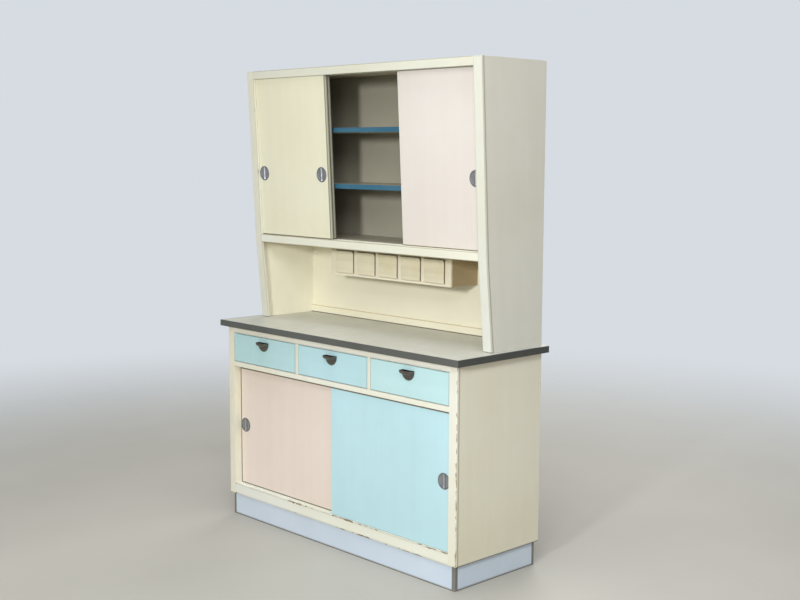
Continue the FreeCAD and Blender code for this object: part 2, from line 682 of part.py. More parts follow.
cup_master = cup_pull()
side_low = f"({drawer_rail_top} + drawer_lift_gap)"
side_top = f"({side_low} + drawer_side_height)"
bottom_low = f"({side_low} + drawer_bottom_rise)"
bottom_z = (bottom_low, f"{bottom_low} + drawer_bottom_thickness")
front_z = (f"{drawer_rail_top} + drawer_gap", f"{top_rail_low} - drawer_gap")
front_y = (base_front, f"{base_front} + drawer_front_thickness")
drawer_end = f"({back_face} - drawer_back_room)"
for index, place in enumerate(DRAWERS):
    name = f"drawer_{place}"
    low = f"(-{base_clear} + {index} * ({drawer_opening} + divider_width) + drawer_gap)"
    high = f"({low} + {drawer_opening} - 2 * drawer_gap)"
    keep(box(f"{name}_front", (low, high), front_y, front_z))
    inside = (f"{low} + drawer_side_thickness", f"{high} - drawer_side_thickness")
    bottom_x = (f"{inside[0]} - drawer_slot_depth", f"{inside[1]} + drawer_slot_depth")
    box_y = (front_y[1], drawer_end)
    slot = box(f"{name}_slot", bottom_x, (f"{front_y[1]} - cut_overrun", f"{drawer_end} + cut_overrun"),
               bottom_z)
    sides = [box(f"{name}_side_1_blank", (low, inside[0]), box_y, (side_low, side_top)),
             box(f"{name}_side_2_blank", (inside[1], high), box_y, (side_low, side_top))]
    pieces = [cut(f"{name}_side_{number}", side, slot) for number, side in enumerate(sides, start=1)]
    back_y = (f"{drawer_end} - drawer_side_thickness", drawer_end)
    pieces.append(box(f"{name}_back", inside, back_y, (bottom_z[1], side_top)))
    keep(group(f"{name}_box", pieces))
    keep(box(f"{name}_bottom", bottom_x, box_y, bottom_z))
    pull = group(f"{name}_pull", [cup_master])
    bind(pull, x=f"({low} + {high}) / 2", y=base_front, z=f"{front_z[1]} - cup_drop")
    keep(pull)

# Scoop rack: a face with rounded openings, and behind it a bottom board, ends and dividers
rack_front = f"({base_front} + rack_setback)"
rack_body = f"({rack_front} + rack_face_thickness)"
rack_top = f"({upper_sill} - upper_floor_thickness)"
stiles = f"(2 * rack_end_stile + {SCOOP_COUNT - 1} * rack_mid_stile)"
scoop_opening = f"((rack_width - {stiles}) / {SCOOP_COUNT})"
scoop_pitch = f"({scoop_opening} + rack_mid_stile)"
board_top = "(rack_level + rack_board_thickness)"
opening_top = f"({board_top} + rack_opening_height)"
row_start = "(-rack_width / 2 + rack_end_stile)"


def rounded_trough(x, z, radius):
    """Outline of an upright rectangle with its two lower corners rounded, seen from the front."""
    return [(x[0], z[0], radius), (x[1], z[0], radius), (x[1], z[1]), (x[0], z[1])]


face_x = both("rack_width / 2")
face = outline("rack_face", "XZ", [(face_x[0], "rack_level"), (face_x[1], "rack_level"),
                                   (face_x[1], rack_top), (face_x[0], rack_top)],
               (rack_front, rack_body))
window = rounded_trough((row_start, f"{row_start} + {scoop_opening}"), (board_top, opening_top),
                        "rack_corner_radius")
hole = face.newObject("PartDesign::Pocket", "rack_window")
hole.Profile = draw(face, "XZ_Plane", window, "rack_window_sketch")
hole.Type = "ThroughAll"
hole.Midplane = True
row = face.newObject("PartDesign::LinearPattern", "rack_windows")
row.Originals = [hole]
row.Direction = ([item for item in face.Origin.OriginFeatures if item.Role == "X_Axis"][0], [""])
row.Occurrences = SCOOP_COUNT
bind(row, Length=f"{SCOOP_COUNT - 1} * {scoop_pitch}")
face.Tip = row
keep(face)

rack_y = (rack_body, upper_back_face)
standing = (board_top, rack_top)
rack = [box("rack_board", face_x, rack_y, ("rack_level", board_top)),
        box("rack_end_1", (face_x[0], row_start), rack_y, standing),
        box("rack_end_2", (f"-{row_start}", face_x[1]), rack_y, standing)]
for index in range(SCOOP_COUNT - 1):
    low = f"{row_start} + {scoop_opening} + {index} * {scoop_pitch}"
    rack.append(box(f"rack_divider_{index + 1}", (low, f"{low} + rack_mid_stile"), rack_y, standing))
keep(group("scoop_rack", rack))


# Scoops: troughs with a sloping back to pour over and a turned-out lip to pull at
def trough(name, x, z, radius, front, bottom_back, top_back):
    """A trough's space: its front outline carried back, cut to its side view."""
    ends = (front, top_back)
    across = outline(f"{name}_across", "XZ", rounded_trough(x, z, radius), ends)
    along = outline(f"{name}_along", "YZ", [(front, z[0]), (bottom_back, z[0]), (top_back, z[1]),
                                            (front, z[1])], x)
    item = doc.addObject("Part::MultiCommon", name)
    item.Shapes = [across, along]
    return item


scoop_front = f"({rack_front} - scoop_proud)"
scoop_z = (f"{board_top} + scoop_lift_gap", f"{opening_top} - scoop_top_gap")
for index in range(SCOOP_COUNT):
    name = f"scoop_{index + 1}"
    low = f"({row_start} + {index} * {scoop_pitch} + scoop_gap)"
    high = f"({low} + {scoop_opening} - 2 * scoop_gap)"
    outside = trough(f"{name}_outside", (low, high), scoop_z, "scoop_corner_radius", scoop_front,
                     f"{scoop_front} + scoop_bottom_depth", f"{scoop_front} + scoop_top_depth")
    inside = trough(f"{name}_inside", (f"{low} + scoop_wall", f"{high} - scoop_wall"),
                    (f"{scoop_z[0]} + scoop_wall", f"{scoop_z[1]} + cut_overrun"),
                    "scoop_corner_radius - scoop_wall", f"{scoop_front} + scoop_wall",
                    f"{scoop_front} + scoop_bottom_depth - scoop_wall",
                    f"{scoop_front} + scoop_top_depth - scoop_wall")
    lip = box(f"{name}_lip", (low, high), (f"{scoop_front} - scoop_lip_reach", scoop_front),
              (f"{scoop_z[1]} - scoop_lip_thickness", scoop_z[1]))
    keep(joined(name, [cut(f"{name}_shell", outside, inside), lip]))

doc.recompute()
for item in doc.Objects:
    if "Invalid" in item.State or "Error" in item.State:
        raise RuntimeError(f"{item.Label} did not compute: {item.State}")
for item in nodes:
    if item.Shape.isNull() or not item.Shape.isValid() or not item.Shape.Solids:
        raise RuntimeError(f"{item.Label} has no valid shape")
os.makedirs("parts", exist_ok=True)
for item in nodes:
    item.Shape.exportStep(f"parts/{item.Label}.step")
print(len(nodes), "nodes,", sum(len(item.Shape.Solids) for item in nodes), "solids")
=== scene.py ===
import json
import math

import bmesh
import bpy
import numpy as np
from mathutils import Matrix, Vector


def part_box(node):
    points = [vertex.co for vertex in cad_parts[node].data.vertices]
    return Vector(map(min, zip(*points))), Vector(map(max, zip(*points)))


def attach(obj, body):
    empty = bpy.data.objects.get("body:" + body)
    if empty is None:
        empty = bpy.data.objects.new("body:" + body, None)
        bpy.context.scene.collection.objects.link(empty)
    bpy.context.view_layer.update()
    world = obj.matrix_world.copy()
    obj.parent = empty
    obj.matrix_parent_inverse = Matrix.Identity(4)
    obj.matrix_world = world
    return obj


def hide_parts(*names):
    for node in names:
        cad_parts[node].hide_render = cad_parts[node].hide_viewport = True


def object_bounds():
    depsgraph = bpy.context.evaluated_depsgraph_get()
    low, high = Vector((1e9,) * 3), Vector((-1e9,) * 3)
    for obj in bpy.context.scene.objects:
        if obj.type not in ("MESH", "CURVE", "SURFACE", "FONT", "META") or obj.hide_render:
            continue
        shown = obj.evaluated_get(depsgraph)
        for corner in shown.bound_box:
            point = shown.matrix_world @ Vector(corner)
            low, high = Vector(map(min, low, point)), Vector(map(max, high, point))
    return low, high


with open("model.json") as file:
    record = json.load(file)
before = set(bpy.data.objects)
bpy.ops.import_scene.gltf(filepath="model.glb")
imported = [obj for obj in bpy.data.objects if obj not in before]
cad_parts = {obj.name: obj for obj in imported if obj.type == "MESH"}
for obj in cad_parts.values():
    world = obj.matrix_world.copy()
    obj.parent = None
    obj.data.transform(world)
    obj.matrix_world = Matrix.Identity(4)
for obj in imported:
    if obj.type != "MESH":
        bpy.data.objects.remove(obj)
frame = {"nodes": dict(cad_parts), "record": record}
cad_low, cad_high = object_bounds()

# Camera
# It stands in front on the right, a little higher than the upper doors' pulls, and looks slightly down.
turn = math.radians(46.30)
tilt = math.radians(-6.96)
roll = math.radians(0.26)
forward = Vector((-math.sin(turn) * math.cos(tilt), math.cos(turn) * math.cos(tilt), math.sin(tilt)))
level = Vector((math.cos(turn), math.sin(turn), 0.0))
plumb = level.cross(forward)
across = level * math.cos(roll) + plumb * math.sin(roll)
upward = plumb * math.cos(roll) - level * math.sin(roll)
lens = bpy.data.cameras.new("camera")
lens.sensor_width = 36.0
lens.lens = 54.83
camera = bpy.data.objects.new("camera", lens)
camera.matrix_world = Matrix((across, upward, -forward)).transposed().to_4x4()
camera.location = (3.5533, -3.2500, 1.5608)
bpy.context.collection.objects.link(camera)
bpy.context.scene.camera = camera


# Studio
# A pale floor that fades into a pale surround. A main, a second and a broad lamp stand in front on the
# right. A side, an overhead and a back lamp and an even light from all round lift the rest.
def wire(tree, kind, values=None, **settings):
    """A shader node with its settings made; of its inputs a socket is linked and a value is stored."""
    node = tree.nodes.new(kind)
    for name, setting in settings.items():
        setattr(node, name, setting)
    for key, entry in (values or {}).items():
        if isinstance(entry, bpy.types.NodeSocket):
            tree.links.new(entry, node.inputs[key])
        else:
            node.inputs[key].default_value = entry
    return node


def maths(tree, operation, *values, clamp=False):
    """One Math node's result."""
    return wire(tree, "ShaderNodeMath", dict(enumerate(values)), operation=operation,
                use_clamp=clamp).outputs[0]


def times(tree, one, other, clamp=False):
    """A product."""
    return maths(tree, "MULTIPLY", one, other, clamp=clamp)


def vectors(tree, operation, *values):
    """One Vector Math node's result, which is a number for a length or a dot product."""
    node = wire(tree, "ShaderNodeVectorMath", dict(enumerate(values)), operation=operation)
    return node.outputs["Value" if operation in ("LENGTH", "DOT_PRODUCT") else "Vector"]


def ranged(tree, value, low, high, start=0.0, end=1.0, how="LINEAR"):
    """A value carried from one range to another and held at its ends."""
    return wire(tree, "ShaderNodeMapRange", {0: value, 1: low, 2: high, 3: start, 4: end},
                interpolation_type=how).outputs[0]


def noise(tree, place, scale, detail, roughness=0.5, distortion=0.0):
    """Noise of a scale, in detail layers each finer than the last."""
    return wire(tree, "ShaderNodeTexNoise", {"Vector": place, "Scale": scale, "Detail": detail,
                                             "Roughness": roughness, "Distortion": distortion}).outputs[0]


def linear(colour):
    """An sRGB colour, 0 to 255, as the linear colour that a shader takes. A linked colour stays."""
    if isinstance(colour, bpy.types.NodeSocket):
        return colour
    part = np.array(colour, float) / 255
    part = np.where(part <= 0.04045, part / 12.92, ((part + 0.055) / 1.055) ** 2.4)
    return (*part.tolist(), 1.0)


def mixed(tree, share, one, other):
    """Two colours mixed by a share."""
    return wire(tree, "ShaderNodeMix", {0: share, 6: linear(one), 7: linear(other)},
                data_type="RGBA").outputs[2]


def new_material(name):
    """An empty material, its node tree, and the place and the way of facing that its patterns read."""
    material = bpy.data.materials.new(name)
    material.use_nodes = True
    tree = material.node_tree
    tree.nodes.clear()
    coordinates = wire(tree, "ShaderNodeTexCoord").outputs
    return material, tree, coordinates["Object"], coordinates["Normal"]


surround = linear((214, 220, 226))
even_light = 0.28
world = bpy.data.worlds.new("studio")
world.use_nodes = True
sky = world.node_tree
sky.nodes.clear()
rays = wire(sky, "ShaderNodeLightPath").outputs
seen = maths(sky, "MAXIMUM", rays["Is Camera Ray"], rays["Is Transmission Ray"])
even = wire(sky, "ShaderNodeBackground", {"Color": (1.0, 1.0, 1.0, 1.0), "Strength": even_light})
backdrop = wire(sky, "ShaderNodeBackground", {"Color": surround, "Strength": 1.0})
chosen = wire(sky, "ShaderNodeMixShader", {0: seen, 1: even.outputs[0], 2: backdrop.outputs[0]})
wire(sky, "ShaderNodeOutputWorld", {"Surface": chosen.outputs[0]})
bpy.context.scene.world = world
bpy.context.scene.view_settings.view_transform = "Standard"

floor_radius = 9.0
fade_start = 1.5
fade_end = 5.2
angles = np.linspace(0.0, 2 * math.pi, 64, endpoint=False)
rim = np.stack([np.cos(angles), np.sin(angles), 0 * angles], axis=-1) * floor_radius
floor_mesh = bpy.data.meshes.new("floor")
floor_mesh.from_pydata(rim.tolist(), [], [list(range(len(angles)))])
floor = bpy.data.objects.new("floor", floor_mesh)
bpy.context.collection.objects.link(floor)
floor_paint, tree, place, _ = new_material("floor")
tone = mixed(tree, noise(tree, place, 1.7, 3.0), (174, 172, 163), (186, 184, 176))
matt = wire(tree, "ShaderNodeBsdfPrincipled", {"Base Color": tone, "Roughness": 0.62})
fade = ranged(tree, vectors(tree, "LENGTH", place), fade_start, fade_end, how="SMOOTHSTEP")
seen = wire(tree, "ShaderNodeLightPath").outputs["Is Camera Ray"]
clear = wire(tree, "ShaderNodeBsdfTransparent")
shown = wire(tree, "ShaderNodeMixShader", {0: times(tree, fade, seen), 1: matt.outputs[0],
                                           2: clear.outputs[0]})
wire(tree, "ShaderNodeOutputMaterial", {"Surface": shown.outputs[0]})
floor_mesh.materials.append(floor_paint)

# Each lamp: its name, its bearing and its height above the horizon in degrees, its distance from the
# middle of the cupboard and its size in metres, and its power in watts.
aim = Vector((0.0, 0.0, 1.0))
lamps = (("main_lamp", 24.5, 13.0, 5.2, 0.5, 125.0),
         ("second_lamp", 39.0, 11.0, 5.4, 0.7, 18.0),
         ("broad_lamp", 47.0, 29.0, 3.6, 1.1, 38.0),
         ("side_lamp", 78.0, 12.0, 5.0, 2.4, 18.0),
         ("overhead_lamp", 20.0, 79.0, 5.4, 3.0, 150.0),
         ("back_lamp", 208.0, 24.0, 5.4, 3.2, 110.0))
for name, bearing, height, distance, size, power in lamps:
    light = bpy.data.lights.new(name, "AREA")
    light.shape = "SQUARE"
    light.size = size
    light.energy = power
    side = math.radians(bearing)
    rise = math.radians(height)
    toward = Vector((math.sin(side) * math.cos(rise), -math.cos(side) * math.cos(rise), math.sin(rise)))
    stand = bpy.data.objects.new(name, light)
    stand.location = aim + toward * distance
    stand.rotation_euler = toward.to_track_quat("Z", "Y").to_euler()
    bpy.context.collection.objects.link(stand)

# Plinth
# Four boards in gloss paint of a pale blue-grey, with moulded dark strips up the corners and a thin one
# along the floor.
record = frame["record"]
body_of = {node: body for body, nodes in record["behaviour"]["bodies"].items() for node in nodes}


def effect(name, inputs, outputs):
    """A new node group, its inputs given as (name, kind, first value) and its outputs as (name, kind)."""
    group = bpy.data.node_groups.new(name, "ShaderNodeTree")
    for label, kind, first in inputs:
        socket = group.interface.new_socket(label, in_out="INPUT", socket_type="NodeSocket" + kind)
        if first is not None:
            socket.default_value = first
    for label, kind in outputs:
        group.interface.new_socket(label, in_out="OUTPUT", socket_type="NodeSocket" + kind)
    return group, group.nodes.new("NodeGroupInput").outputs


def put(tree, group, values):
    """A node group placed in a material, with its inputs filled."""
    return wire(tree, "ShaderNodeGroup", values, node_tree=group).outputs


def part_of(tree, vector, axis):
    """The x, y or z part of a vector, for axis 0, 1 or 2."""
    return wire(tree, "ShaderNodeSeparateXYZ", {0: vector}).outputs[axis]


def brush_effect():
    """Brush marks: noise drawn out along the stroke, fine as a height and broad as a change of tone."""
    inputs = [("Vector", "Vector", None), ("Stroke", "Vector", None)]
    group, given = effect("brush marks", inputs, [("Height", "Float"), ("Tone", "Float")])
    drawn = vectors(group, "MULTIPLY", given["Vector"], given["Stroke"])
    marks = noise(group, drawn, 1.0, 5.0, roughness=0.65)
    broad = noise(group, drawn, 0.11, 3.0)
    wire(group, "NodeGroupOutput", {0: marks, 1: broad})
    return group


def ageing_effect():
    """Slow and fine noise added up: 0 where a finish kept its colour, 1 where it has yellowed or greyed."""
    inputs = [("Vector", "Vector", None), ("Scale", "Float", 2.0)]
    group, given = effect("ageing", inputs, [("Mask", "Float")])
    fine_share = 0.18
    finer = 9.0
    slow = noise(group, given["Vector"], given["Scale"], 3.0)
    fine = noise(group, given["Vector"], times(group, given["Scale"], finer), 4.0, roughness=0.6)
    both = maths(group, "ADD", times(group, slow, 1 - fine_share), times(group, fine, fine_share))
    wire(group, "NodeGroupOutput", {0: ranged(group, both, 0.28, 0.72, how="SMOOTHSTEP")})
    return group


def edge_wear_effect():
    """Chips and rubbing along the edges of a box, which fade out over a width.

    On a face of the box one of the distances to its three pairs of planes is nothing, so the middle one
    of the three is the distance to the nearest edge. A chip is where noise passes a limit that rises
    with that distance. Chips come in patches; Least says how many there are between the patches,
    Grain how small they are, and Stretch draws them out along the piece.
    """
    inputs = [("Vector", "Vector", None), ("Centre", "Vector", None), ("Half", "Vector", None),
              ("Width", "Float", 0.004), ("Amount", "Float", 0.5), ("Least", "Float", 0.0),
              ("Grain", "Float", 150.0), ("Stretch", "Vector", (1.0, 1.0, 1.0))]
    group, given = effect("edge wear", inputs, [("Chips", "Float"), ("Near", "Float")])
    patch_low = 0.46
    patch_high = 0.66
    chip_limit = 0.80
    chip_steepness = 16.0
    fade_steepness = 8.0
    place = given["Vector"]
    off = vectors(group, "ABSOLUTE", vectors(group, "SUBTRACT", place, given["Centre"]))
    gap = vectors(group, "ABSOLUTE", vectors(group, "SUBTRACT", given["Half"], off))
    x, y, z = wire(group, "ShaderNodeSeparateXYZ", {0: gap}).outputs
    more = maths(group, "MINIMUM", maths(group, "MAXIMUM", x, y), z)
    edge = maths(group, "MAXIMUM", maths(group, "MINIMUM", x, y), more)
    near = maths(group, "SUBTRACT", 1.0, maths(group, "DIVIDE", edge, given["Width"]), clamp=True)
    drawn = vectors(group, "MULTIPLY", place, given["Stretch"])
    grain = noise(group, drawn, given["Grain"], 3.0, roughness=0.55)
    patch = noise(group, place, 6.0, 3.0)
    spread = maths(group, "MAXIMUM", ranged(group, patch, patch_low, patch_high), given["Least"])
    limit = times(group, times(group, near, spread), given["Amount"])
    over = maths(group, "SUBTRACT", maths(group, "ADD", grain, limit), chip_limit)
    chips = times(group, times(group, over, chip_steepness, clamp=True),
                  times(group, near, fade_steepness, clamp=True))
    wire(group, "NodeGroupOutput", {0: chips, 1: near})
    return group


foot_setback = 0.179
kink_setback = 0.147
crown_setback = 0.108
kink_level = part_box("upper_sill_rail")[0].z
lean_above = (kink_setback - crown_setback) / (cad_high.z - kink_level)
lean_below = (foot_setback - kink_setback) / (kink_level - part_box("worktop_surface")[1].z)


def straighten_effect():
    """Shears the leaning front of the upper cupboard upright: y grows by the slope times the height
    from the kink, with one slope above it and another below."""
    group, given = effect("straighten", [("Vector", "Vector", None)], [("Vector", "Vector")])
    x, y, z = wire(group, "ShaderNodeSeparateXYZ", {0: given["Vector"]}).outputs
    rise = maths(group, "SUBTRACT", z, kink_level)
    above = times(group, maths(group, "MAXIMUM", rise, 0.0), lean_above)
    below = times(group, maths(group, "MINIMUM", rise, 0.0), lean_below)
    upright = maths(group, "ADD", maths(group, "ADD", y, above), below)
    straight = wire(group, "ShaderNodeCombineXYZ", {0: x, 1: upright, 2: z}).outputs[0]
    wire(group, "NodeGroupOutput", {0: straight})
    return group


inside_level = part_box("upper_floor")[0].z
# The painted shade under the upper cupboard's floor fades in between these two heights.
under_cupboard_shade_low = inside_level - 0.065
under_cupboard_shade_high = inside_level - 0.010


def under_cupboard_shade_effect():
    """Painted shade under the upper cupboard's floor: a smooth step of the height, strongest just below the
    floor.
    """
    group, given = effect("under_cupboard_shade", [("Vector", "Vector", None), ("Amount", "Float", 0.5)],
                          [("Mask", "Float")])
    step = ranged(group, part_of(group, given["Vector"], 2), under_cupboard_shade_low, under_cupboard_shade_high, how="SMOOTHSTEP")
    wire(group, "NodeGroupOutput", {0: times(group, step, given["Amount"])})
    return group


brush_marks = brush_effect()
ageing = ageing_effect()
edge_wear = edge_wear_effect()
straighten = straighten_effect()
under_cupboard_shade = under_cupboard_shade_effect()
# The colour that the painted shade under the upper cupboard's floor darkens towards.
under_cupboard_shade_colour = (150, 126, 80)
brown_ground = (124, 102, 78)
chip_roughness = 0.35
foot_dirt = (74, 68, 56)
foot_dirt_share = 0.9
foot_dirt_full = 0.6
brush_relief = 0.4
chip_stretch = 0.35
upright_strokes = (240.0, 240.0, 7.0)
level_strokes = (7.0, 240.0, 240.0)


def points_of(node):
    """A CAD node's vertices as an array of places."""
    mesh = frame["nodes"][node].data
    points = np.empty(len(mesh.vertices) * 3, np.float32)
    mesh.vertices.foreach_get("co", points)
    return points.reshape(-1, 3).astype(float)


def aged_share(tree, place, scale):
    """How far the finish has aged at a place, in patches that grow smaller with the scale."""
    return put(tree, ageing, {"Vector": place, "Scale": scale})[0]


def sideways_share(tree, facing):
    """How squarely a face looks to the left or right."""
    return maths(tree, "ABSOLUTE", part_of(tree, facing, 0))


def dimmed(colour, share):
    """A colour times a share."""
    return tuple(channel * share for channel in colour)


def finished(material, tree, colour, rough, height=None, strength=0.3, depth=0.0003, metallic=0.0):
    """Ends a material with one shader of a colour and a roughness, embossed by a height up to a depth."""
    values = {"Base Color": colour, "Roughness": rough, "Metallic": metallic}
    if height:
        relief = {"Height": height, "Strength": strength, "Distance": depth}
        values["Normal"] = wire(tree, "ShaderNodeBump", relief).outputs[0]
    skin = wire(tree, "ShaderNodeBsdfPrincipled", values)
    wire(tree, "ShaderNodeOutputMaterial", {"Surface": skin.outputs[0]})
    return material


def painted(node, colour, aged, stroke, leaning=False, open_sides=(0, 0, 0, 0, 0, 0), chips=0.3,
            width=0.004, gloss=0.35, rub=0.0, rub_colour=brown_ground, raw_back=None, inside=None,
            side_colour=None, least=0.0, grain=150.0, foot=0.0, chip_colour=brown_ground, smoky=0.0):
    """Brushed oil gloss for one piece: uneven yellowing, brush marks, chips down to the brown ground.

    open_sides moves the low x, y, z and high x, y, z planes of the wear's box away where the piece runs
    into a neighbour. rub is how far the edges darken towards rub_colour: grime and rubbing, and painted
    shade in the gaps round doors and drawers and where panels meet the frame. raw_back is the bare colour
    of the side that faces backwards. inside is the paint of the upper cupboard's inside, given as the
    direction that the face looks in, the colour above the cupboard's floor and the one below it.
    side_colour is that of the faces that look sideways, on the doors' edges darker as painted shade. foot
    is the height of the dirt line where the piece stands on another. smoky is how much painted shade
    darkens the piece just under the upper cupboard's floor.
    """
    material, tree, place, facing = new_material(node)
    straight = put(tree, straighten, {"Vector": place})[0] if leaning else place
    points = points_of(node)
    base = float(points[:, 2].min())
    if leaning:
        rise = points[:, 2] - kink_level
        points[:, 1] += np.maximum(rise, 0) * lean_above + np.minimum(rise, 0) * lean_below
    low = points.min(axis=0) - open_sides[:3]
    high = points.max(axis=0) + open_sides[3:]
    stretch = tuple(chip_stretch if reach == min(stroke) else 1.0 for reach in stroke)
    worn = put(tree, edge_wear, {"Vector": straight, "Centre": tuple((low + high) / 2),
                                 "Half": tuple((high - low) / 2), "Width": width, "Amount": chips,
                                 "Least": least, "Grain": grain, "Stretch": stretch})
    marks = put(tree, brush_marks, {"Vector": straight, "Stroke": stroke})
    age = aged_share(tree, straight, 1.9)
    paint = mixed(tree, age, colour, aged)
    paint = vectors(tree, "MULTIPLY", paint, ranged(tree, marks["Tone"], 0.25, 0.75, 0.982, 1.015))
    if inside or smoky:
        under = put(tree, under_cupboard_shade, {"Vector": place, "Amount": smoky})[0]
    if inside:
        direction, colour_above, colour_below = inside
        above = mixed(tree, age, colour_above, dimmed(colour_above, 0.94))
        below = mixed(tree, age, colour_below, dimmed(colour_below, 0.97))
        below = mixed(tree, under, below, under_cupboard_shade_colour)
        over = maths(tree, "GREATER_THAN", part_of(tree, place, 2), inside_level)
        within = maths(tree, "GREATER_THAN", vectors(tree, "DOT_PRODUCT", facing, direction), 0.5)
        paint = mixed(tree, within, paint, mixed(tree, over, below, above))
    elif smoky:
        paint = mixed(tree, under, paint, under_cupboard_shade_colour)
    if side_colour:
        side = maths(tree, "GREATER_THAN", sideways_share(tree, facing), 0.7)
        paint = mixed(tree, side, paint, side_colour)
    if rub:
        paint = mixed(tree, times(tree, worn["Near"], rub, clamp=True), paint, rub_colour)
    if foot:
        height = part_of(tree, place, 2)
        dirty = ranged(tree, height, base + foot * foot_dirt_full, base + foot, foot_dirt_share, 0.0)
        paint = mixed(tree, dirty, paint, foot_dirt)
    paint = mixed(tree, worn["Chips"], paint, chip_colour)
    if raw_back:
        raw = mixed(tree, noise(tree, straight, 260.0, 4.0), raw_back, dimmed(raw_back, 0.8))
        backwards = maths(tree, "GREATER_THAN", part_of(tree, facing, 1), 0.5)
        paint = mixed(tree, backwards, paint, raw)
    rough = maths(tree, "ADD", ranged(tree, age, 0.0, 1.0, gloss - 0.04, gloss + 0.08),
                  times(tree, worn["Chips"], chip_roughness))
    relief = maths(tree, "SUBTRACT", times(tree, marks["Height"], brush_relief), worn["Chips"])
    return finished(material, tree, paint, rough, relief, depth=0.0004)


def moulded(name, colour, worn_colour, rough, side_shade=1.0):
    """A moulded strip: fine grain, duller and paler in rubbed patches, and darker on the faces that look
    sideways as painted shade.
    """
    material, tree, place, facing = new_material(name)
    age = aged_share(tree, place, 9.0)
    shade = mixed(tree, times(tree, age, 0.4), colour, worn_colour)
    tone = ranged(tree, sideways_share(tree, facing), 0.3, 0.9, 1.0, side_shade)
    shade = vectors(tree, "MULTIPLY", shade, tone)
    dullness = ranged(tree, age, 0.0, 1.0, rough - 0.06, rough + 0.12)
    return finished(material, tree, shade, dullness, noise(tree, place, 240.0, 3.0), strength=0.15,
                    depth=0.0002)


def coat(node, material):
    """Gives a CAD node that keeps its shape a material."""
    mesh = frame["nodes"][node].data
    mesh.materials.clear()
    mesh.materials.append(material)


def stands_for(piece, node):
    """A new piece rides with the CAD node that it replaces, in that node's finish."""
    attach(piece, body_of[node])
    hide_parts(node)


merge_distance = 1e-5
edge_seed = 7
largest_number = 2 ** 40


def lump_numbers(node):
    """For each triangle of a CAD node, the number of the closed solid that it belongs to.

    The triangles come solid by solid, and a closed solid passes each of its edges once in each
    direction. So a running sum, where an edge counts plus a number of its own in one direction and minus
    it in the other, is back at zero where a solid ends.
    """
    mesh = frame["nodes"][node].data
    corners = np.empty(len(mesh.loops), np.int64)
    mesh.loops.foreach_get("vertex_index", corners)
    places = np.round(points_of(node) / merge_distance).astype(np.int64)
    merged = np.unique(places, axis=0, return_inverse=True)[1].reshape(-1)[corners].reshape(-1, 3)
    after = np.roll(merged, -1, axis=1)
    pair = np.minimum(merged, after) * (len(places) + 1) + np.maximum(merged, after)
    edge = np.unique(pair, return_inverse=True)[1].reshape(pair.shape)
    own = np.random.default_rng(edge_seed).integers(1, largest_number, edge.max() + 1)
    running = np.cumsum((own[edge] * np.sign(after - merged)).sum(axis=1))
    return np.concatenate([[0], np.cumsum(running == 0)[:-1]])


flat_angle = math.radians(0.5)
corner_angle = math.radians(28)
crease_angle = math.radians(40)


def eased(node, material, width=0.0012, sharp=None):
    """A merged copy of a CAD node whose edges are rounded off as paint and sandpaper leave them.

    Edges that turn by more than the corner angle are rounded, and those still past the crease angle are
    shaded sharp. sharp(middle, direction) says which edges aren't rounded, such as those in a joint.
    """
    mesh = bpy.data.meshes.new(node + "_eased")
    numbers = lump_numbers(node)
    work = bmesh.new()
    work.from_mesh(frame["nodes"][node].data)
    work.faces.ensure_lookup_table()
    # A dict keeps its order where a set doesn't, and merging in another order gives another mesh.
    lumps = [dict.fromkeys(corner for spot in np.flatnonzero(numbers == number).tolist()
                           for corner in work.faces[spot].verts) for number in range(numbers.max() + 1)]
    for lump in lumps:
        bmesh.ops.remove_doubles(work, verts=list(lump), dist=merge_distance)
    bmesh.ops.dissolve_limit(work, angle_limit=flat_angle, verts=work.verts, edges=work.edges)
    rounded = []
    for edge in work.edges:
        bent = len(edge.link_faces) == 2 and edge.calc_face_angle(0.0) > corner_angle
        middle = (edge.verts[0].co + edge.verts[1].co) / 2
        along = (edge.verts[1].co - edge.verts[0].co).normalized()
        if bent and edge.is_convex and not (sharp and sharp(middle, along)):
            rounded.append(edge)
    bmesh.ops.bevel(work, geom=rounded, offset=width, offset_type="OFFSET", segments=3, profile=0.5,
                    affect="EDGES", clamp_overlap=True)
    for edge in work.edges:
        edge.smooth = edge.calc_face_angle(0.0) < crease_angle
    for face in work.faces:
        face.smooth = True
    work.to_mesh(mesh)
    work.free()
    mesh.materials.clear()
    mesh.materials.append(material)
    piece = bpy.data.objects.new(node + "_eased", mesh)
    bpy.context.collection.objects.link(piece)
    flat = piece.modifiers.new("flat faces", "WEIGHTED_NORMAL")
    flat.keep_sharp = True
    stands_for(piece, node)


def painted_piece(node, *paint, easing=0.0012, sharp=None, **wear):
    """A CAD node's eased copy in brushed gloss."""
    eased(node, painted(node, *paint, **wear), easing, sharp)


# The boards darken along their edges: grime, and painted shade under the cupboard's overhang.
painted_piece("plinth_boards", (208, 220, 233), (200, 213, 226), level_strokes, chips=0.0, rub=0.5,
              rub_colour=(118, 116, 108), width=0.006, easing=0.0004)
coat("plinth_trim", moulded("plinth_trim", (112, 112, 107), (140, 139, 132), rough=0.42))

# Base cupboard's box
# Side panels, floor, back, partition and shelves, brushed cream; the inside is duller, and the thin back
# panel is bare behind.
dull = (228, 224, 203)
dull_aged = (214, 207, 180)
raw_panel = (186, 150, 104)
# Grime in the joints, and painted shade in the step where a panel meets the frame.
joint_grime_and_shade = (140, 134, 104)
far_off = 1.0
for side in ("left", "right"):
    painted_piece("base_side_" + side, (228, 225, 208), (220, 216, 192), upright_strokes, chips=0.3,
                  rub=0.9, rub_colour=joint_grime_and_shade, width=0.006, foot=0.004, easing=0.0008,
                  open_sides=(0, 0, far_off, 0, far_off, far_off))
for node, raw in (("base_floor", None), ("base_back", raw_panel), ("base_partition", None),
                  ("base_shelves", None)):
    coat(node, painted(node, dull, dull_aged, level_strokes, chips=0.1, gloss=0.5, raw_back=raw))

# Drawer runners
# Planed softwood, left bare: rails that carry the drawers and strips that guide them, glued and nailed
# between the face frame and the back.


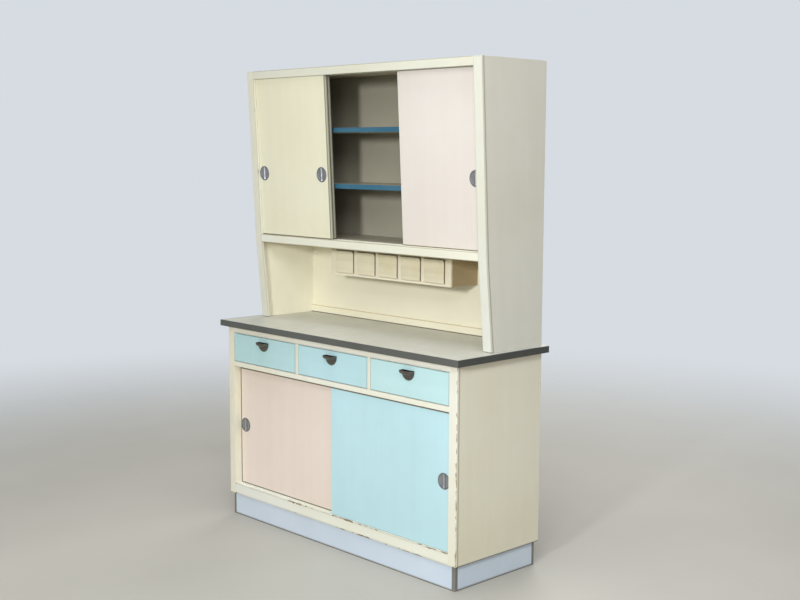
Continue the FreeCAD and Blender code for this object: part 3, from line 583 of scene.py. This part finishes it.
def grain_effect():
    """Straight wood grain: noise drawn out along the board, as growth rings and as fine pores."""
    inputs = [("Vector", "Vector", None), ("Along", "Vector", None)]
    group, given = effect("wood grain", inputs, [("Rings", "Float"), ("Pores", "Float")])
    drawn = vectors(group, "MULTIPLY", given["Vector"], given["Along"])
    warp = wire(group, "ShaderNodeTexNoise", {"Vector": given["Vector"], "Scale": 4.0, "Detail": 2.0})
    rings = noise(group, vectors(group, "ADD", drawn, warp.outputs[1]), 0.35, 4.0, roughness=0.7)
    pores = noise(group, drawn, 3.5, 3.0)
    wire(group, "NodeGroupOutput", {0: ranged(group, rings, 0.3, 0.7), 1: pores})
    return group


wood_grain = grain_effect()
along_x = (12.0, 220.0, 220.0)
along_y = (220.0, 12.0, 220.0)
handled_wood = (120, 100, 76)


def bare_wood(name, pale, dark, along):
    """Unpainted wood: grain in tone and relief, greyed by handling."""
    material, tree, place, _ = new_material(name)
    grain = put(tree, wood_grain, {"Vector": place, "Along": along})
    wood = mixed(tree, grain["Rings"], pale, dark)
    wood = mixed(tree, times(tree, aged_share(tree, place, 4.0), 0.3), wood, handled_wood)
    return finished(material, tree, wood, ranged(tree, grain["Pores"], 0.3, 0.7, 0.55, 0.75),
                    maths(tree, "ADD", grain["Rings"], grain["Pores"]))


coat("drawer_runners", bare_wood("runner_softwood", (206, 174, 124), (178, 140, 92), along_y))

# Base cupboard's face frame
# Two posts, a sill rail, a drawer rail, a top rail and two slim dividers, dowelled, glued and painted
# over, so that the front shows no joint. The sill and the right post are the most knocked.
bare_undercoat = (164, 142, 114)
joint_reach = 2e-4


def at_planes(axis, planes):
    """Says whether an edge lies in one of the planes across an axis, where pieces are joined."""
    return lambda middle, along: min(abs(middle[axis] - plane) for plane in planes) < joint_reach


def yellowed(colour):
    """The same paint where it has aged."""
    red, green, blue = colour
    return red * 0.972, green * 0.965, blue * 0.93


for side, inner, colour, chips, width, least in (("left", 1, (230, 227, 210), 0.42, 0.004, 0.0),
                                                 ("right", 0, (229, 229, 217), 0.70, 0.007, 0.5)):
    node = "base_post_" + side
    sides = (far_off * (1 - inner), 0, 0, far_off * inner, far_off, far_off)
    painted_piece(node, colour, yellowed(colour), upright_strokes, open_sides=sides, chips=chips,
                  width=width, least=least, grain=110.0, chip_colour=bare_undercoat, easing=0.002,
                  sharp=at_planes(0, [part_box(node)[inner].x]))
for node, colour, chips, width, rub in (("base_sill_rail", (233, 235, 226), 0.60, 0.009, 0.3),
                                        ("drawer_rail", (231, 231, 218), 0.27, 0.004, 0.2),
                                        ("base_top_rail", (235, 236, 226), 0.5, 0.009, 0.25)):
    painted_piece(node, colour, yellowed(colour), level_strokes, chips=chips, width=width, rub=rub,
                  open_sides=(far_off, 0, 0, far_off, far_off, 0), least=0.25,
                  sharp=at_planes(0, [corner.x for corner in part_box(node)]))
colour = (226, 225, 209)
painted_piece("drawer_dividers", colour, yellowed(colour), upright_strokes, chips=0.0,
              sharp=at_planes(2, [corner.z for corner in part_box("drawer_dividers")]))

# Lower sliding doors
# Plain boards in two tracks, the left one pink and set back, the right one pale blue in front. Each slides
# in grooves of the frame and is moved by a round finger pull.
# A line lowered onto a door's top is the painted shadow of the drawer rail, deepest on the set-back pink
# door.
doors = (("lower_door_left", (233, 220, 210), (226, 211, 197), (0.0, 0.001, -0.010)),
         ("lower_door_right", (189, 225, 233), (182, 217, 224), (0.0, 0.004, -0.003)))
lower_opening = (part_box("base_post_left")[1].x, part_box("base_sill_rail")[1].z,
                 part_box("base_post_right")[0].x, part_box("drawer_rail")[0].z)
# Grime in the grooves, and the frame's painted shade round the doors.
groove_grime_and_shade = (92, 80, 58)
door_rim = 0.004


def door(node, colour, aged, opening, hidden, leaning=False, edge=None, free_edge=far_off):
    """A painted door, with a dark line where it goes into the frame round its opening: grime in the
    groove, and painted shade of the frame's edge.

    hidden is how far behind the frame's edge the line lies at the left, below and above; less than
    nothing brings the line onto the door as painted shadow. free_edge is how far off the wear's plane
    stands at the right edge, where that edge is seen; close by, the line is painted shade in the gap.
    edge is the colour of the faces that look sideways, darker as painted shade. The door's rim is
    rounded, the edges of the recesses for its pulls aren't.
    """
    low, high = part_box(node)
    left, bottom, right, top = opening
    sides = (low.x - left + hidden[0] if low.x < left else far_off, 0, low.z - bottom + hidden[1],
             right - high.x if high.x > right else free_edge, 0, top - high.z + hidden[2])
    painted_piece(node, colour, aged, upright_strokes, leaning=leaning, chips=0.1, rub=1.7,
                  rub_colour=groove_grime_and_shade, width=0.006, open_sides=sides, side_colour=edge, easing=0.001,
                  sharp=lambda middle, along: (low.x + door_rim < middle.x < high.x - door_rim
                                               and low.z + door_rim < middle.z < high.z - door_rim))


for node, colour, aged, hidden in doors:
    door(node, colour, aged, lower_opening, hidden)

# Finger pulls of the doors
# Round aluminium dishes pressed into the doors, lacquered, with an upright ridge across the middle that
# the fingers catch on. Each is brushed along its ridge.
disc_radius = 0.0305
disc_seat = 0.003
disc_proud = 0.0012
rim_width = 0.0035
dish_depth = 0.0022
rim_darkening_width = 0.0024
ridge_half = 0.0027
ridge_proud = 0.003
disc_turns = 120
dish_rings = 23
rim_rings = 8
dish_power = 6
ridge_power = 6
end_power = 60
end_share = 0.985
rim_foot = 0.55
feet_distance = 1.8 * ridge_half
feet_width = 0.7 * ridge_half
feet_dirt_and_shade = 0.45
rim_darkening = 0.35


def skin_object(name, points, faces, material):
    """A piece from an array of places and a list of faces, in place and shaded smooth."""
    mesh = bpy.data.meshes.new(name)
    mesh.from_pydata(points.reshape(-1, 3).tolist(), [], faces)
    mesh.materials.append(material)
    mesh.polygons.foreach_set("use_smooth", [True] * len(mesh.polygons))
    piece = bpy.data.objects.new(name, mesh)
    bpy.context.collection.objects.link(piece)
    return piece


def fan(middle, first, count):
    """Triangles from a middle point round a ring of points."""
    return [[middle, first + spot, first + (spot + 1) % count] for spot in range(count)]


def grid_faces(rows, columns, closed=True, first=0):
    """Four-sided faces between rows of points. A closed row joins up with its own start."""
    row, spot = np.meshgrid(np.arange(rows - 1), np.arange(columns if closed else columns - 1),
                            indexing="ij")
    after = (spot + 1) % columns
    quads = np.stack([row * columns + spot, row * columns + after, (row + 1) * columns + after,
                      (row + 1) * columns + spot], axis=-1)
    return (quads.reshape(-1, 4) + first).tolist()


def repeated(faces, size, count):
    """The faces of one piece of so many points, for each of its copies one after another."""
    return [[index + number * size for index in face] for number in range(count) for face in faces]


def disc_surface(centre, slope):
    """A dished disc, closed at the back, standing on a door that leans forward by slope.

    Rings of growing radius r carry the height out of the door: the dish is the floor plus
    (r / dish radius)^6 of its depth, the rim is a half round, and the ridge adds
    1 / (1 + (x / ridge half)^6) of its own height inside the dish, where it ends as
    1 / (1 + (r / dish radius)^60). A value on the mesh scales the metal's colour: 1 on the ridge as a
    painted highlight, half in the dish, and less by bells along both feet of the ridge, part dirt and
    part painted shade, and round the foot of the rim.
    """
    turns = np.linspace(0, 2 * math.pi, disc_turns, endpoint=False)
    dish_radius = disc_radius - rim_width
    inside = dish_radius * np.sin(np.linspace(0, math.pi / 2, dish_rings + 1))[1:]
    arc = np.linspace(0, math.pi, rim_rings + 1)[1:]
    over = disc_radius - rim_width / 2 - rim_width / 2 * np.cos(arc)
    radii = np.concatenate([inside, over, [disc_radius, disc_radius]])
    x = radii[:, None] * np.cos(turns)
    z = radii[:, None] * np.sin(turns)
    bowl = disc_proud - dish_depth * (1 - (inside / dish_radius) ** dish_power)
    rim_height = disc_proud * (rim_foot + (1 - rim_foot) * np.sin(arc))
    height = np.concatenate([bowl, rim_height, [0.0, -disc_seat]])[:, None] + 0 * x
    within = 1 / (1 + (np.hypot(x, z) / (dish_radius * end_share)) ** end_power)
    ridge = within / (1 + (x / ridge_half) ** ridge_power)
    height = height + (ridge_proud - disc_proud + dish_depth) * ridge
    feet = np.exp(-((np.abs(x) - feet_distance) / feet_width) ** 2) * within
    foot_of_rim = np.exp(-((radii - dish_radius) / rim_darkening_width) ** 2)[:, None] + 0 * x
    # A painted highlight on the ridge; dirt and painted shade at its feet; darker round the rim's foot.
    highlight_shade_and_dirt = np.clip(0.5 + 0.5 * ridge - feet_dirt_and_shade * feet - rim_darkening * foot_of_rim, 0, 1)
    highlight_shade_and_dirt = np.concatenate([[1.0], highlight_shade_and_dirt.reshape(-1), [0.5]])
    rings = np.stack([x, -height, z], axis=-1).reshape(-1, 3)
    local = np.concatenate([[[0.0, -ridge_proud, 0.0]], rings, [[0.0, disc_seat, 0.0]]])
    scale = math.hypot(1.0, slope)
    upward = np.array([0.0, -slope, 1.0]) / scale
    inward = np.array([0.0, 1.0, slope]) / scale
    places = np.array(centre) + local[:, :1] * [1.0, 0.0, 0.0] + local[:, 1:2] * inward \
        + local[:, 2:3] * upward
    last = len(local) - 1
    faces = [[face[0], face[3], face[2], face[1]] for face in grid_faces(len(radii), disc_turns, first=1)]
    faces += fan(0, 1, disc_turns)
    faces += [face[::-1] for face in fan(last, last - disc_turns, disc_turns)]
    return places, faces, highlight_shade_and_dirt


def aluminium(name, stroke, colour=(168, 172, 180), aged=(142, 144, 148), with_highlight_and_shade=False):
    """Lacquered aluminium, finely brushed; on the pulls, lighter and darker as a value on the mesh says: a
    painted highlight on the ridge, dirt and painted shade at its feet.
    """
    material, tree, place, _ = new_material(name)
    marks = put(tree, brush_marks, {"Vector": place, "Stroke": stroke})
    metal = mixed(tree, aged_share(tree, place, 30.0), colour, aged)
    if with_highlight_and_shade:
        highlight_shade_and_dirt = wire(tree, "ShaderNodeAttribute", attribute_name="highlight_shade_and_dirt").outputs["Fac"]
        metal = vectors(tree, "MULTIPLY", metal, ranged(tree, highlight_shade_and_dirt, 0.0, 1.0, 0.45, 1.5))
    return finished(material, tree, metal, ranged(tree, marks["Height"], 0.3, 0.7, 0.34, 0.5),
                    marks["Height"], depth=0.0002, metallic=0.6)


along_ridge = (2600.0, 2600.0, 60.0)
lower_metal = aluminium("lower_pull_aluminium", along_ridge, (156, 160, 164), (132, 134, 134), True)


def finger_pulls(door_node, metal, slope=0.0):
    """The discs of one door, one at each end of its CAD pulls along x, joined as one piece."""
    node = door_node + "_pull"
    points = points_of(node)
    spots = [points[:, 0].min() + disc_radius, points[:, 0].max() - disc_radius]
    if spots[1] - spots[0] < disc_radius:
        spots = spots[:1]
    scale = math.hypot(1.0, slope)
    out = points @ (np.array([0.0, -1.0, -slope]) / scale)
    level = (points[:, 2].min() + points[:, 2].max()) / 2
    y = (ridge_proud - out.max()) * scale - slope * level
    places, faces, highlights_shades_and_dirt = zip(*(disc_surface((x, y, level), slope) for x in spots))
    piece = skin_object(node + "_brushed", np.concatenate(places),
                        repeated(faces[0], len(places[0]), len(spots)), metal)
    piece.data.attributes.new("highlight_shade_and_dirt", "FLOAT", "POINT").data.foreach_set("value", np.concatenate(highlights_shades_and_dirt))
    stands_for(piece, node)


for node, *_ in doors:
    finger_pulls(node, lower_metal)

# Drawers
# Painted pale blue fronts with softened edges, boxes of bare wood with a thin bottom in a slot, and
# pressed cup pulls.
blues = ((186, 222, 227), (185, 221, 228), (190, 225, 228))
blue_ageing = (8, 10, 14)
box_wood = bare_wood("drawer_beech", (214, 184, 140), (190, 155, 108), along_y)
panel_wood = bare_wood("drawer_panel", (190, 152, 108), (168, 130, 88), along_x)
# Each front darkens along its edges as painted shade of the gaps round it.
for place, colour in zip(("left", "middle", "right"), blues):
    painted_piece(f"drawer_{place}_front", colour, tuple(np.array(colour) - blue_ageing), level_strokes,
                  chips=0.22, rub=0.55, rub_colour=(100, 112, 104), width=0.0042, easing=0.0024)
    coat(f"drawer_{place}_box", box_wood)
    coat(f"drawer_{place}_bottom", panel_wood)

# Cup pulls of the drawers
# Half-round cups pressed from sheet metal and bronzed, on a plate: open at the top, with the lip flared out
# nearly square so that fingers hook in from above.
cup_half_width = 0.032
cup_height = 0.038
cup_reach = 0.0228
cup_sheet = 0.0016
cup_taper = 0.06
bowl_reach = 0.0145
bowl_power = 2.2
flare_drop = 0.0132
flare_power = 6
plan_power = 2.2
lip_power = 4.0
lip_drop = 0.0128
lip_end_power = 5
plate_share = 0.985
cup_rows = 40
cup_columns = 49
plate_steps = 33


def cup_surface():
    """A cup as rows of arcs from the lip down to the foot.

    At height share t from the lip the half width is that of a straight part over a half round, the reach
    is an elliptic bowl plus the flare's bell, and the arc is |x / width|^p + |y / reach|^p = 1, where p
    makes the lip nearly square in plan. Its back edge lies on the plate.
    """
    t = (1 - np.cos(np.linspace(0, math.pi, cup_rows))) / 2
    drop = t * cup_height
    straight = cup_height - cup_half_width
    below = np.clip((drop - straight) / cup_half_width, 0, 1)
    width = cup_half_width * np.sqrt(np.clip(1 - below ** 2, 0.0, 1)) * (1 - cup_taper * t)
    bowl = bowl_reach * np.sqrt(np.clip(1 - t ** bowl_power, 0, 1))
    reach = bowl + (cup_reach - bowl_reach) * np.exp(-(drop / flare_drop) ** flare_power)
    spread = plan_power + lip_power * np.exp(-(drop / lip_drop) ** lip_end_power)
    turn = np.linspace(0, math.pi, cup_columns)
    cosine = np.cos(turn)
    sine = np.sin(turn)
    power = 2 / spread[:, None]
    x = width[:, None] * np.sign(cosine) * np.abs(cosine) ** power
    y = -reach[:, None] * np.abs(sine) ** power
    z = -drop[:, None] + 0 * x
    return np.stack([x, y, z], axis=-1)


def back_plate():
    """The outline of the plate behind the cup: straight sides over a half round, as one face."""
    turn = np.linspace(math.pi, 2 * math.pi, plate_steps)
    straight = cup_height - cup_half_width
    round_part = np.stack([cup_half_width * np.cos(turn), 0 * turn,
                           cup_half_width * np.sin(turn) - straight], axis=-1)
    corners = np.array([[cup_half_width, 0.0, 0.0], [-cup_half_width, 0.0, 0.0]])
    return np.concatenate([round_part, corners]) * plate_share


def sheet_metal(name):
    """Bronzed sheet: brown-grey lacquer, worn to the metal in specks, duller in patches."""
    material, tree, place, _ = new_material(name)
    age = aged_share(tree, place, 45.0)
    speck = noise(tree, place, 420.0, 4.0)
    tone = mixed(tree, age, (84, 82, 76), (98, 92, 82))
    tone = mixed(tree, ranged(tree, speck, 0.66, 0.8), tone, (128, 122, 110))
    return finished(material, tree, tone, ranged(tree, age, 0.0, 1.0, 0.36, 0.52), speck, strength=0.2,
                    depth=0.0002, metallic=0.45)


bronze = sheet_metal("pull_bronze")
cup = cup_surface()
plate = back_plate()
pressed = np.concatenate([cup.reshape(-1, 3), plate])
pressed_faces = grid_faces(*cup.shape[:2], closed=False)
pressed_faces.append(list(range(len(pressed) - len(plate), len(pressed))))
for place in ("left", "middle", "right"):
    node = f"drawer_{place}_pull"
    low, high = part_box(node)
    origin = np.array([(low.x + high.x) / 2, high.y, high.z])
    piece = skin_object(node + "_pressed", pressed + origin, pressed_faces, bronze)
    piece.data.polygons[-1].use_smooth = False
    wall = piece.modifiers.new("sheet", "SOLIDIFY")
    wall.thickness = cup_sheet
    wall.offset = -1.0
    stands_for(piece, node)

# Worktop
# A glued board with a grey-beige laminate sheet on it, worn dull in patches, and a dark moulded edge
# strip mitred at the front corners.
coat("worktop_board", bare_wood("worktop_core", (200, 166, 118), (172, 134, 90), along_x))


def at_mitres(middle, along):
    """Says whether an edge runs slantwise in a mitre or upright at a strip's end."""
    return abs(along.x * along.y) > 0.3 or abs(along.z) > 0.9


# The edge strip's end faces are darker as painted shade.
eased("worktop_edge", moulded("edge_strip", (83, 86, 83), (100, 102, 98), rough=0.42, side_shade=0.63),
      sharp=at_mitres)


def laminate_material():
    """Satin laminate: cloudy tone, fine speckle, pale and dark scuffs, and wiping marks in the gloss."""
    material, tree, place, _ = new_material("laminate")
    shade = mixed(tree, aged_share(tree, place, 3.1), (206, 207, 199), (193, 194, 184))
    speckle = ranged(tree, noise(tree, place, 420.0, 2.0), 0.35, 0.65, 0.96, 1.03)
    shade = vectors(tree, "MULTIPLY", shade, speckle)
    scuff = noise(tree, place, 16.0, 7.0, roughness=0.68, distortion=0.6)
    shade = mixed(tree, ranged(tree, scuff, 0.52, 0.74, 0.0, 0.5), shade, (220, 220, 212))
    shade = mixed(tree, ranged(tree, scuff, 0.42, 0.28, 0.0, 0.35), shade, (176, 174, 160))
    wiped = noise(tree, place, 5.0, 2.0)
    return finished(material, tree, shade, ranged(tree, wiped, 0.25, 0.75, 0.38, 0.48))


coat("worktop_surface", laminate_material())

# Upper cupboard's box
# Side panels down to the worktop, floor, top, back, and a strip that closes the niche against the
# worktop, all brushed cream. Above the floor the inside is duller; just below the floor, painted shade
# darkens the niche.
niche_cream = (244, 240, 217)
niche_aged = (238, 232, 206)
inside_tone = (175, 171, 154)
for side, inward in (("left", 1.0), ("right", -1.0)):
    painted_piece("upper_side_" + side, (217, 216, 206), (210, 208, 194), upright_strokes, leaning=True,
                  chips=0.2, rub=0.9, rub_colour=joint_grime_and_shade, width=0.006, smoky=0.4, easing=0.0008,
                  open_sides=(0, 0, far_off, 0, far_off, far_off),
                  inside=((inward, 0.0, 0.0), inside_tone, (244, 240, 220)))
coat("upper_floor", painted("upper_floor", niche_cream, niche_aged, level_strokes, chips=0.0, gloss=0.42,
                            inside=((0.0, 0.0, 1.0), inside_tone, niche_cream)))
coat("upper_back", painted("upper_back", niche_cream, niche_aged, level_strokes, chips=0.0, gloss=0.42,
                           raw_back=raw_panel, smoky=0.55,
                           inside=((0.0, -1.0, 0.0), inside_tone, niche_cream)))
painted_piece("upper_top", dull, dull_aged, level_strokes, chips=0.2, gloss=0.8, easing=0.0008)
painted_piece("niche_strip", niche_cream, niche_aged, level_strokes, chips=0.0, rub=0.8,
              rub_colour=(186, 154, 88), width=0.004, foot=0.0045,
              open_sides=(far_off, 0, far_off, far_off, far_off, 0))

# Upper cupboard's face frame
# Two posts that lean forward above the niche, a sill rail and a head rail with the doors' grooves,
# painted over as the base.
for side, inner, colour, chips in (("left", 1, (222, 222, 208), 0.3), ("right", 0, (216, 218, 210), 0.2)):
    node = "upper_post_" + side
    painted_piece(node, colour, yellowed(colour), upright_strokes, leaning=True, chips=chips, rub=0.35,
                  rub_colour=joint_grime_and_shade, open_sides=(0, 0, 0, 0, far_off, 0), foot=0.003, easing=0.002,
                  sharp=at_planes(0, [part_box(node)[inner].x]))
for node, colour, open_below in (("upper_sill_rail", (229, 230, 218), 0.0),
                                 ("upper_head_rail", (217, 218, 206), far_off)):
    painted_piece(node, colour, yellowed(colour), level_strokes, leaning=True, chips=0.2, rub=0.8,
                  rub_colour=joint_grime_and_shade, open_sides=(far_off, 0, open_below, far_off, far_off, 0),
                  sharp=at_planes(0, [corner.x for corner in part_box(node)]))

# Shelves of the upper cupboard
# Two painted boards on battens that are screwed to the sides, each with a blue strip glued along its
# front edge.
coat("upper_shelves", painted("upper_shelves", inside_tone, (170, 160, 138), level_strokes, chips=0.0,
                              gloss=0.42))
coat("upper_shelf_battens", bare_wood("batten_softwood", (206, 174, 124), (178, 140, 92), along_y))
eased("shelf_edgings", moulded("shelf_edging", (48, 97, 122), (70, 116, 138), rough=0.4), width=0.0008)

# Upper sliding doors
# Three leaning doors: the middle one, cream, runs in the front track with a pull at each end; the left
# one, blue-grey, and the right one, pale pink, run behind it.
# The edge colours are darker than the faces as painted shade, the left door's also a paler paint. The dark
# lines along the left and middle doors' right edges are painted shade in the gaps.
upper_doors = (("upper_door_left", (200, 212, 204), (194, 204, 192), (0.0, 0.0, 0.004),
                (176, 180, 168), 0.0),
               ("upper_door_middle", (228, 226, 203), (222, 219, 192), (0.004, 0.0, 0.004),
                (204, 204, 181), 0.004),
               ("upper_door_right", (221, 216, 211), (217, 209, 201), (0.0, 0.001, 0.003), None, far_off))
upper_metal = aluminium("upper_pull_aluminium", along_ridge, with_highlight_and_shade=True)
upper_opening = (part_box("upper_post_left")[1].x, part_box("upper_sill_rail")[1].z,
                 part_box("upper_post_right")[0].x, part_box("upper_head_rail")[0].z)
for node, colour, aged, hidden, edge, free_edge in upper_doors:
    door(node, colour, aged, upper_opening, hidden, True, edge, free_edge)
    finger_pulls(node, upper_metal, lean_above)

# Scoop rack
# A painted face with five rounded openings, dowelled to end boards, dividers and a bottom that hang
# under the upper cupboard's floor.
# The rack's face darkens towards the cupboard's floor as painted shade.
painted_piece("rack_face", (238, 232, 213), (231, 223, 198), level_strokes, chips=0.1, smoky=0.8,
              easing=0.0009)
# The rack's box is a browner paint than its face, darkened further as painted shade.
painted_piece("scoop_rack", (180, 159, 125), (171, 150, 116), level_strokes, chips=0.0, easing=0.0006)

# Scoops
# Five moulded cream scoops that hang in the rack and pull out: thin walls, a sloping back to pour over,
# rounded corners below and a lip turned out at the top of the front.
scoop_wall = 0.002
scoop_corner = 0.007
scoop_lip = 0.0068
lip_height = 0.010
lip_rise = 0.0018
back_slope = 0.033
bottom_reach = 0.3
plan_corner = 0.6 * scoop_corner
plan_corner_loss = 0.3
least_plan_corner = 0.001
flank_shade_depth = 0.024
flank_shade_full = 0.4
steps_up = 14
bottom_steps = 4
corner_steps = 7
plan_corner_steps = 8
wall_top_steps = 5


def scoop_surface(low, high):
    """One scoop as a closed skin of rounded rectangles, out along the bottom, up the outside and down
    the inside.

    A section at height h has the front at front - lip * s(h) and the back at bottom back + slope * h,
    where s rises as a smooth step over the lip's height. Below the corner radius r it is drawn in by
    r * (1 - sqrt(1 - (1 - h / r)^2)). The inside is the same form drawn in by the wall.
    """
    tall = high[2] + lip_rise - low[2]
    rise = np.linspace(0, 1, steps_up)
    corner_turn = np.linspace(0, math.pi / 2, corner_steps)
    bottom_share = 1 - rise[:bottom_steps] / rise[bottom_steps]
    outer_in = np.concatenate([scoop_corner + bottom_reach * (high[0] - low[0]) * bottom_share,
                               scoop_corner * (1 - np.sin(corner_turn)), np.zeros(steps_up - 1)])
    outer_up = np.concatenate([np.zeros(bottom_steps), scoop_corner * (1 - np.cos(corner_turn)),
                               scoop_corner + (tall - scoop_corner) * rise[1:]])
    edge_turn = np.linspace(0, math.pi, wall_top_steps)[1:-1]
    inset = np.concatenate([outer_in, scoop_wall / 2 * (1 - np.cos(edge_turn)),
                            (outer_in + scoop_wall)[::-1]])
    level = np.concatenate([outer_up, tall + 0 * edge_turn, np.maximum(outer_up, scoop_wall)[::-1]])
    level = np.clip(level, 0, tall)
    step = np.clip((level - tall + lip_height) / lip_height, 0, 1)
    front = low[1] + scoop_lip - scoop_lip * step ** 2 * (3 - 2 * step) + inset
    back = high[1] - back_slope * (1 - level / tall) - inset
    left = low[0] + inset
    right = high[0] - inset
    radius = np.clip(plan_corner - plan_corner_loss * inset, least_plan_corner, None)[:, None]
    corners = []
    for number, (x, y, sx, sy) in enumerate(((left, front, 1, 1), (right, front, -1, 1),
                                             (right, back, -1, -1), (left, back, 1, -1))):
        sweep = math.pi + number * math.pi / 2 + np.linspace(0, math.pi / 2, plan_corner_steps)
        corners.append(np.stack([x[:, None] + sx * radius + radius * np.cos(sweep),
                                 y[:, None] + sy * radius + radius * np.sin(sweep)], axis=-1))
    plan = np.concatenate(corners, axis=1)
    height = low[2] + level[:, None] + 0 * plan[:, :, 0]
    rings = np.concatenate([plan, height[:, :, None]], axis=-1)
    count = rings.shape[1]
    faces = grid_faces(len(rings), count)
    faces.append(list(range(count))[::-1])
    faces.append([(len(rings) - 1) * count + spot for spot in range(count)])
    return rings, faces


def scoop_material():
    """Moulded cream plastic: fine level lines, yellowed, greasy in the gloss, darker towards the top as
    painted shade under the cupboard's floor, and dark on the flanks just behind the front as painted
    shade of the gaps beside the fronts."""
    material, tree, place, facing = new_material("scoop")
    age = aged_share(tree, place, 7.0)
    lines = put(tree, brush_marks, {"Vector": place, "Stroke": (16.0, 16.0, 620.0)})
    shade = mixed(tree, age, (232, 225, 200), (224, 214, 182))
    # Painted shade towards the top, under the cupboard's floor.
    shade = mixed(tree, put(tree, under_cupboard_shade, {"Vector": place, "Amount": 0.5})[0], shade, under_cupboard_shade_colour)
    shade = vectors(tree, "MULTIPLY", shade, ranged(tree, lines["Tone"], 0.3, 0.7, 0.93, 1.03))
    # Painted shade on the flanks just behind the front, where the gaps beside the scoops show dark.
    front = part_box("scoop_1")[0].y
    behind = ranged(tree, part_of(tree, place, 1), front + flank_shade_depth * flank_shade_full,
                    front + flank_shade_depth, 0.85, 0.0)
    flank = ranged(tree, sideways_share(tree, facing), 0.6, 0.9)
    shade = mixed(tree, times(tree, flank, behind), shade, (112, 92, 70))
    return finished(material, tree, shade, ranged(tree, age, 0.0, 1.0, 0.34, 0.5), lines["Height"],
                    strength=0.4)


scoop_plastic = scoop_material()
for number in range(1, 6):
    node = f"scoop_{number}"
    piece = skin_object(node + "_moulded", *scoop_surface(*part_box(node)), scoop_plastic)
    stands_for(piece, node)

# Screws of the back panels
# Steel screws with slotted round heads hold both thin back panels along their edges.
screw_radius = 0.0042
screw_proud = 0.0009
screw_inset = 0.010
screw_spacing = 0.16
screw_sides = 12
slot_half = 0.3 * screw_radius
slot_end = 0.99 * screw_radius
slot_share = 0.45


def screw_rows(node):
    """Places along the edges of a back panel, evenly spaced and close to the wished spacing."""
    low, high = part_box(node)
    places = []
    for a, b, fixed, level in ((low.x, high.x, low.z, True), (low.x, high.x, high.z, True),
                               (low.z, high.z, low.x, False), (low.z, high.z, high.x, False)):
        inward = screw_inset if fixed in (low.x, low.z) else -screw_inset
        count = int((b - a) / screw_spacing)
        along = np.linspace(a + screw_inset, b - screw_inset, count + 1)
        along = along if level else along[1:-1]
        places += [(value, fixed + inward) if level else (fixed + inward, value) for value in along]
    return np.array(places), high.y


def screw_heads(places, y):
    """Slotted round heads on a plane: a low dome of rings, with the ring points near a line through the
    middle pressed down."""
    radii = screw_radius * np.array([1.0, 0.96, 0.75, 0.4])
    bulge = screw_proud * np.array([0.0, 0.45, 0.85, 1.0])
    turns = np.linspace(0, 2 * math.pi, screw_sides, endpoint=False)
    x = radii[:, None] * np.cos(turns)
    z = radii[:, None] * np.sin(turns)
    slot = (np.abs(z) < slot_half) & (radii[:, None] < slot_end)
    out = bulge[:, None] * np.where(slot, slot_share, 1.0)
    head = np.stack([x, out + 0 * x, z], axis=-1).reshape(-1, 3)
    head = np.concatenate([head, [[0.0, screw_proud * slot_share, 0.0]]])
    top = len(head) - 1
    faces = [face[::-1] for face in grid_faces(len(radii), screw_sides)
             + fan(top, top - screw_sides, screw_sides)]
    faces.append(list(range(screw_sides)))
    spots = np.stack([places[:, 0], y + 0 * places[:, 0], places[:, 1]], axis=-1)
    return spots[:, None, :] + head[None], repeated(faces, len(head), len(spots))


for node in ("base_back", "upper_back"):
    steel = aluminium(node + "_steel", (900.0, 900.0, 900.0))
    piece = skin_object(node + "_screws", *screw_heads(*screw_rows(node)), steel)
    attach(piece, body_of[node])
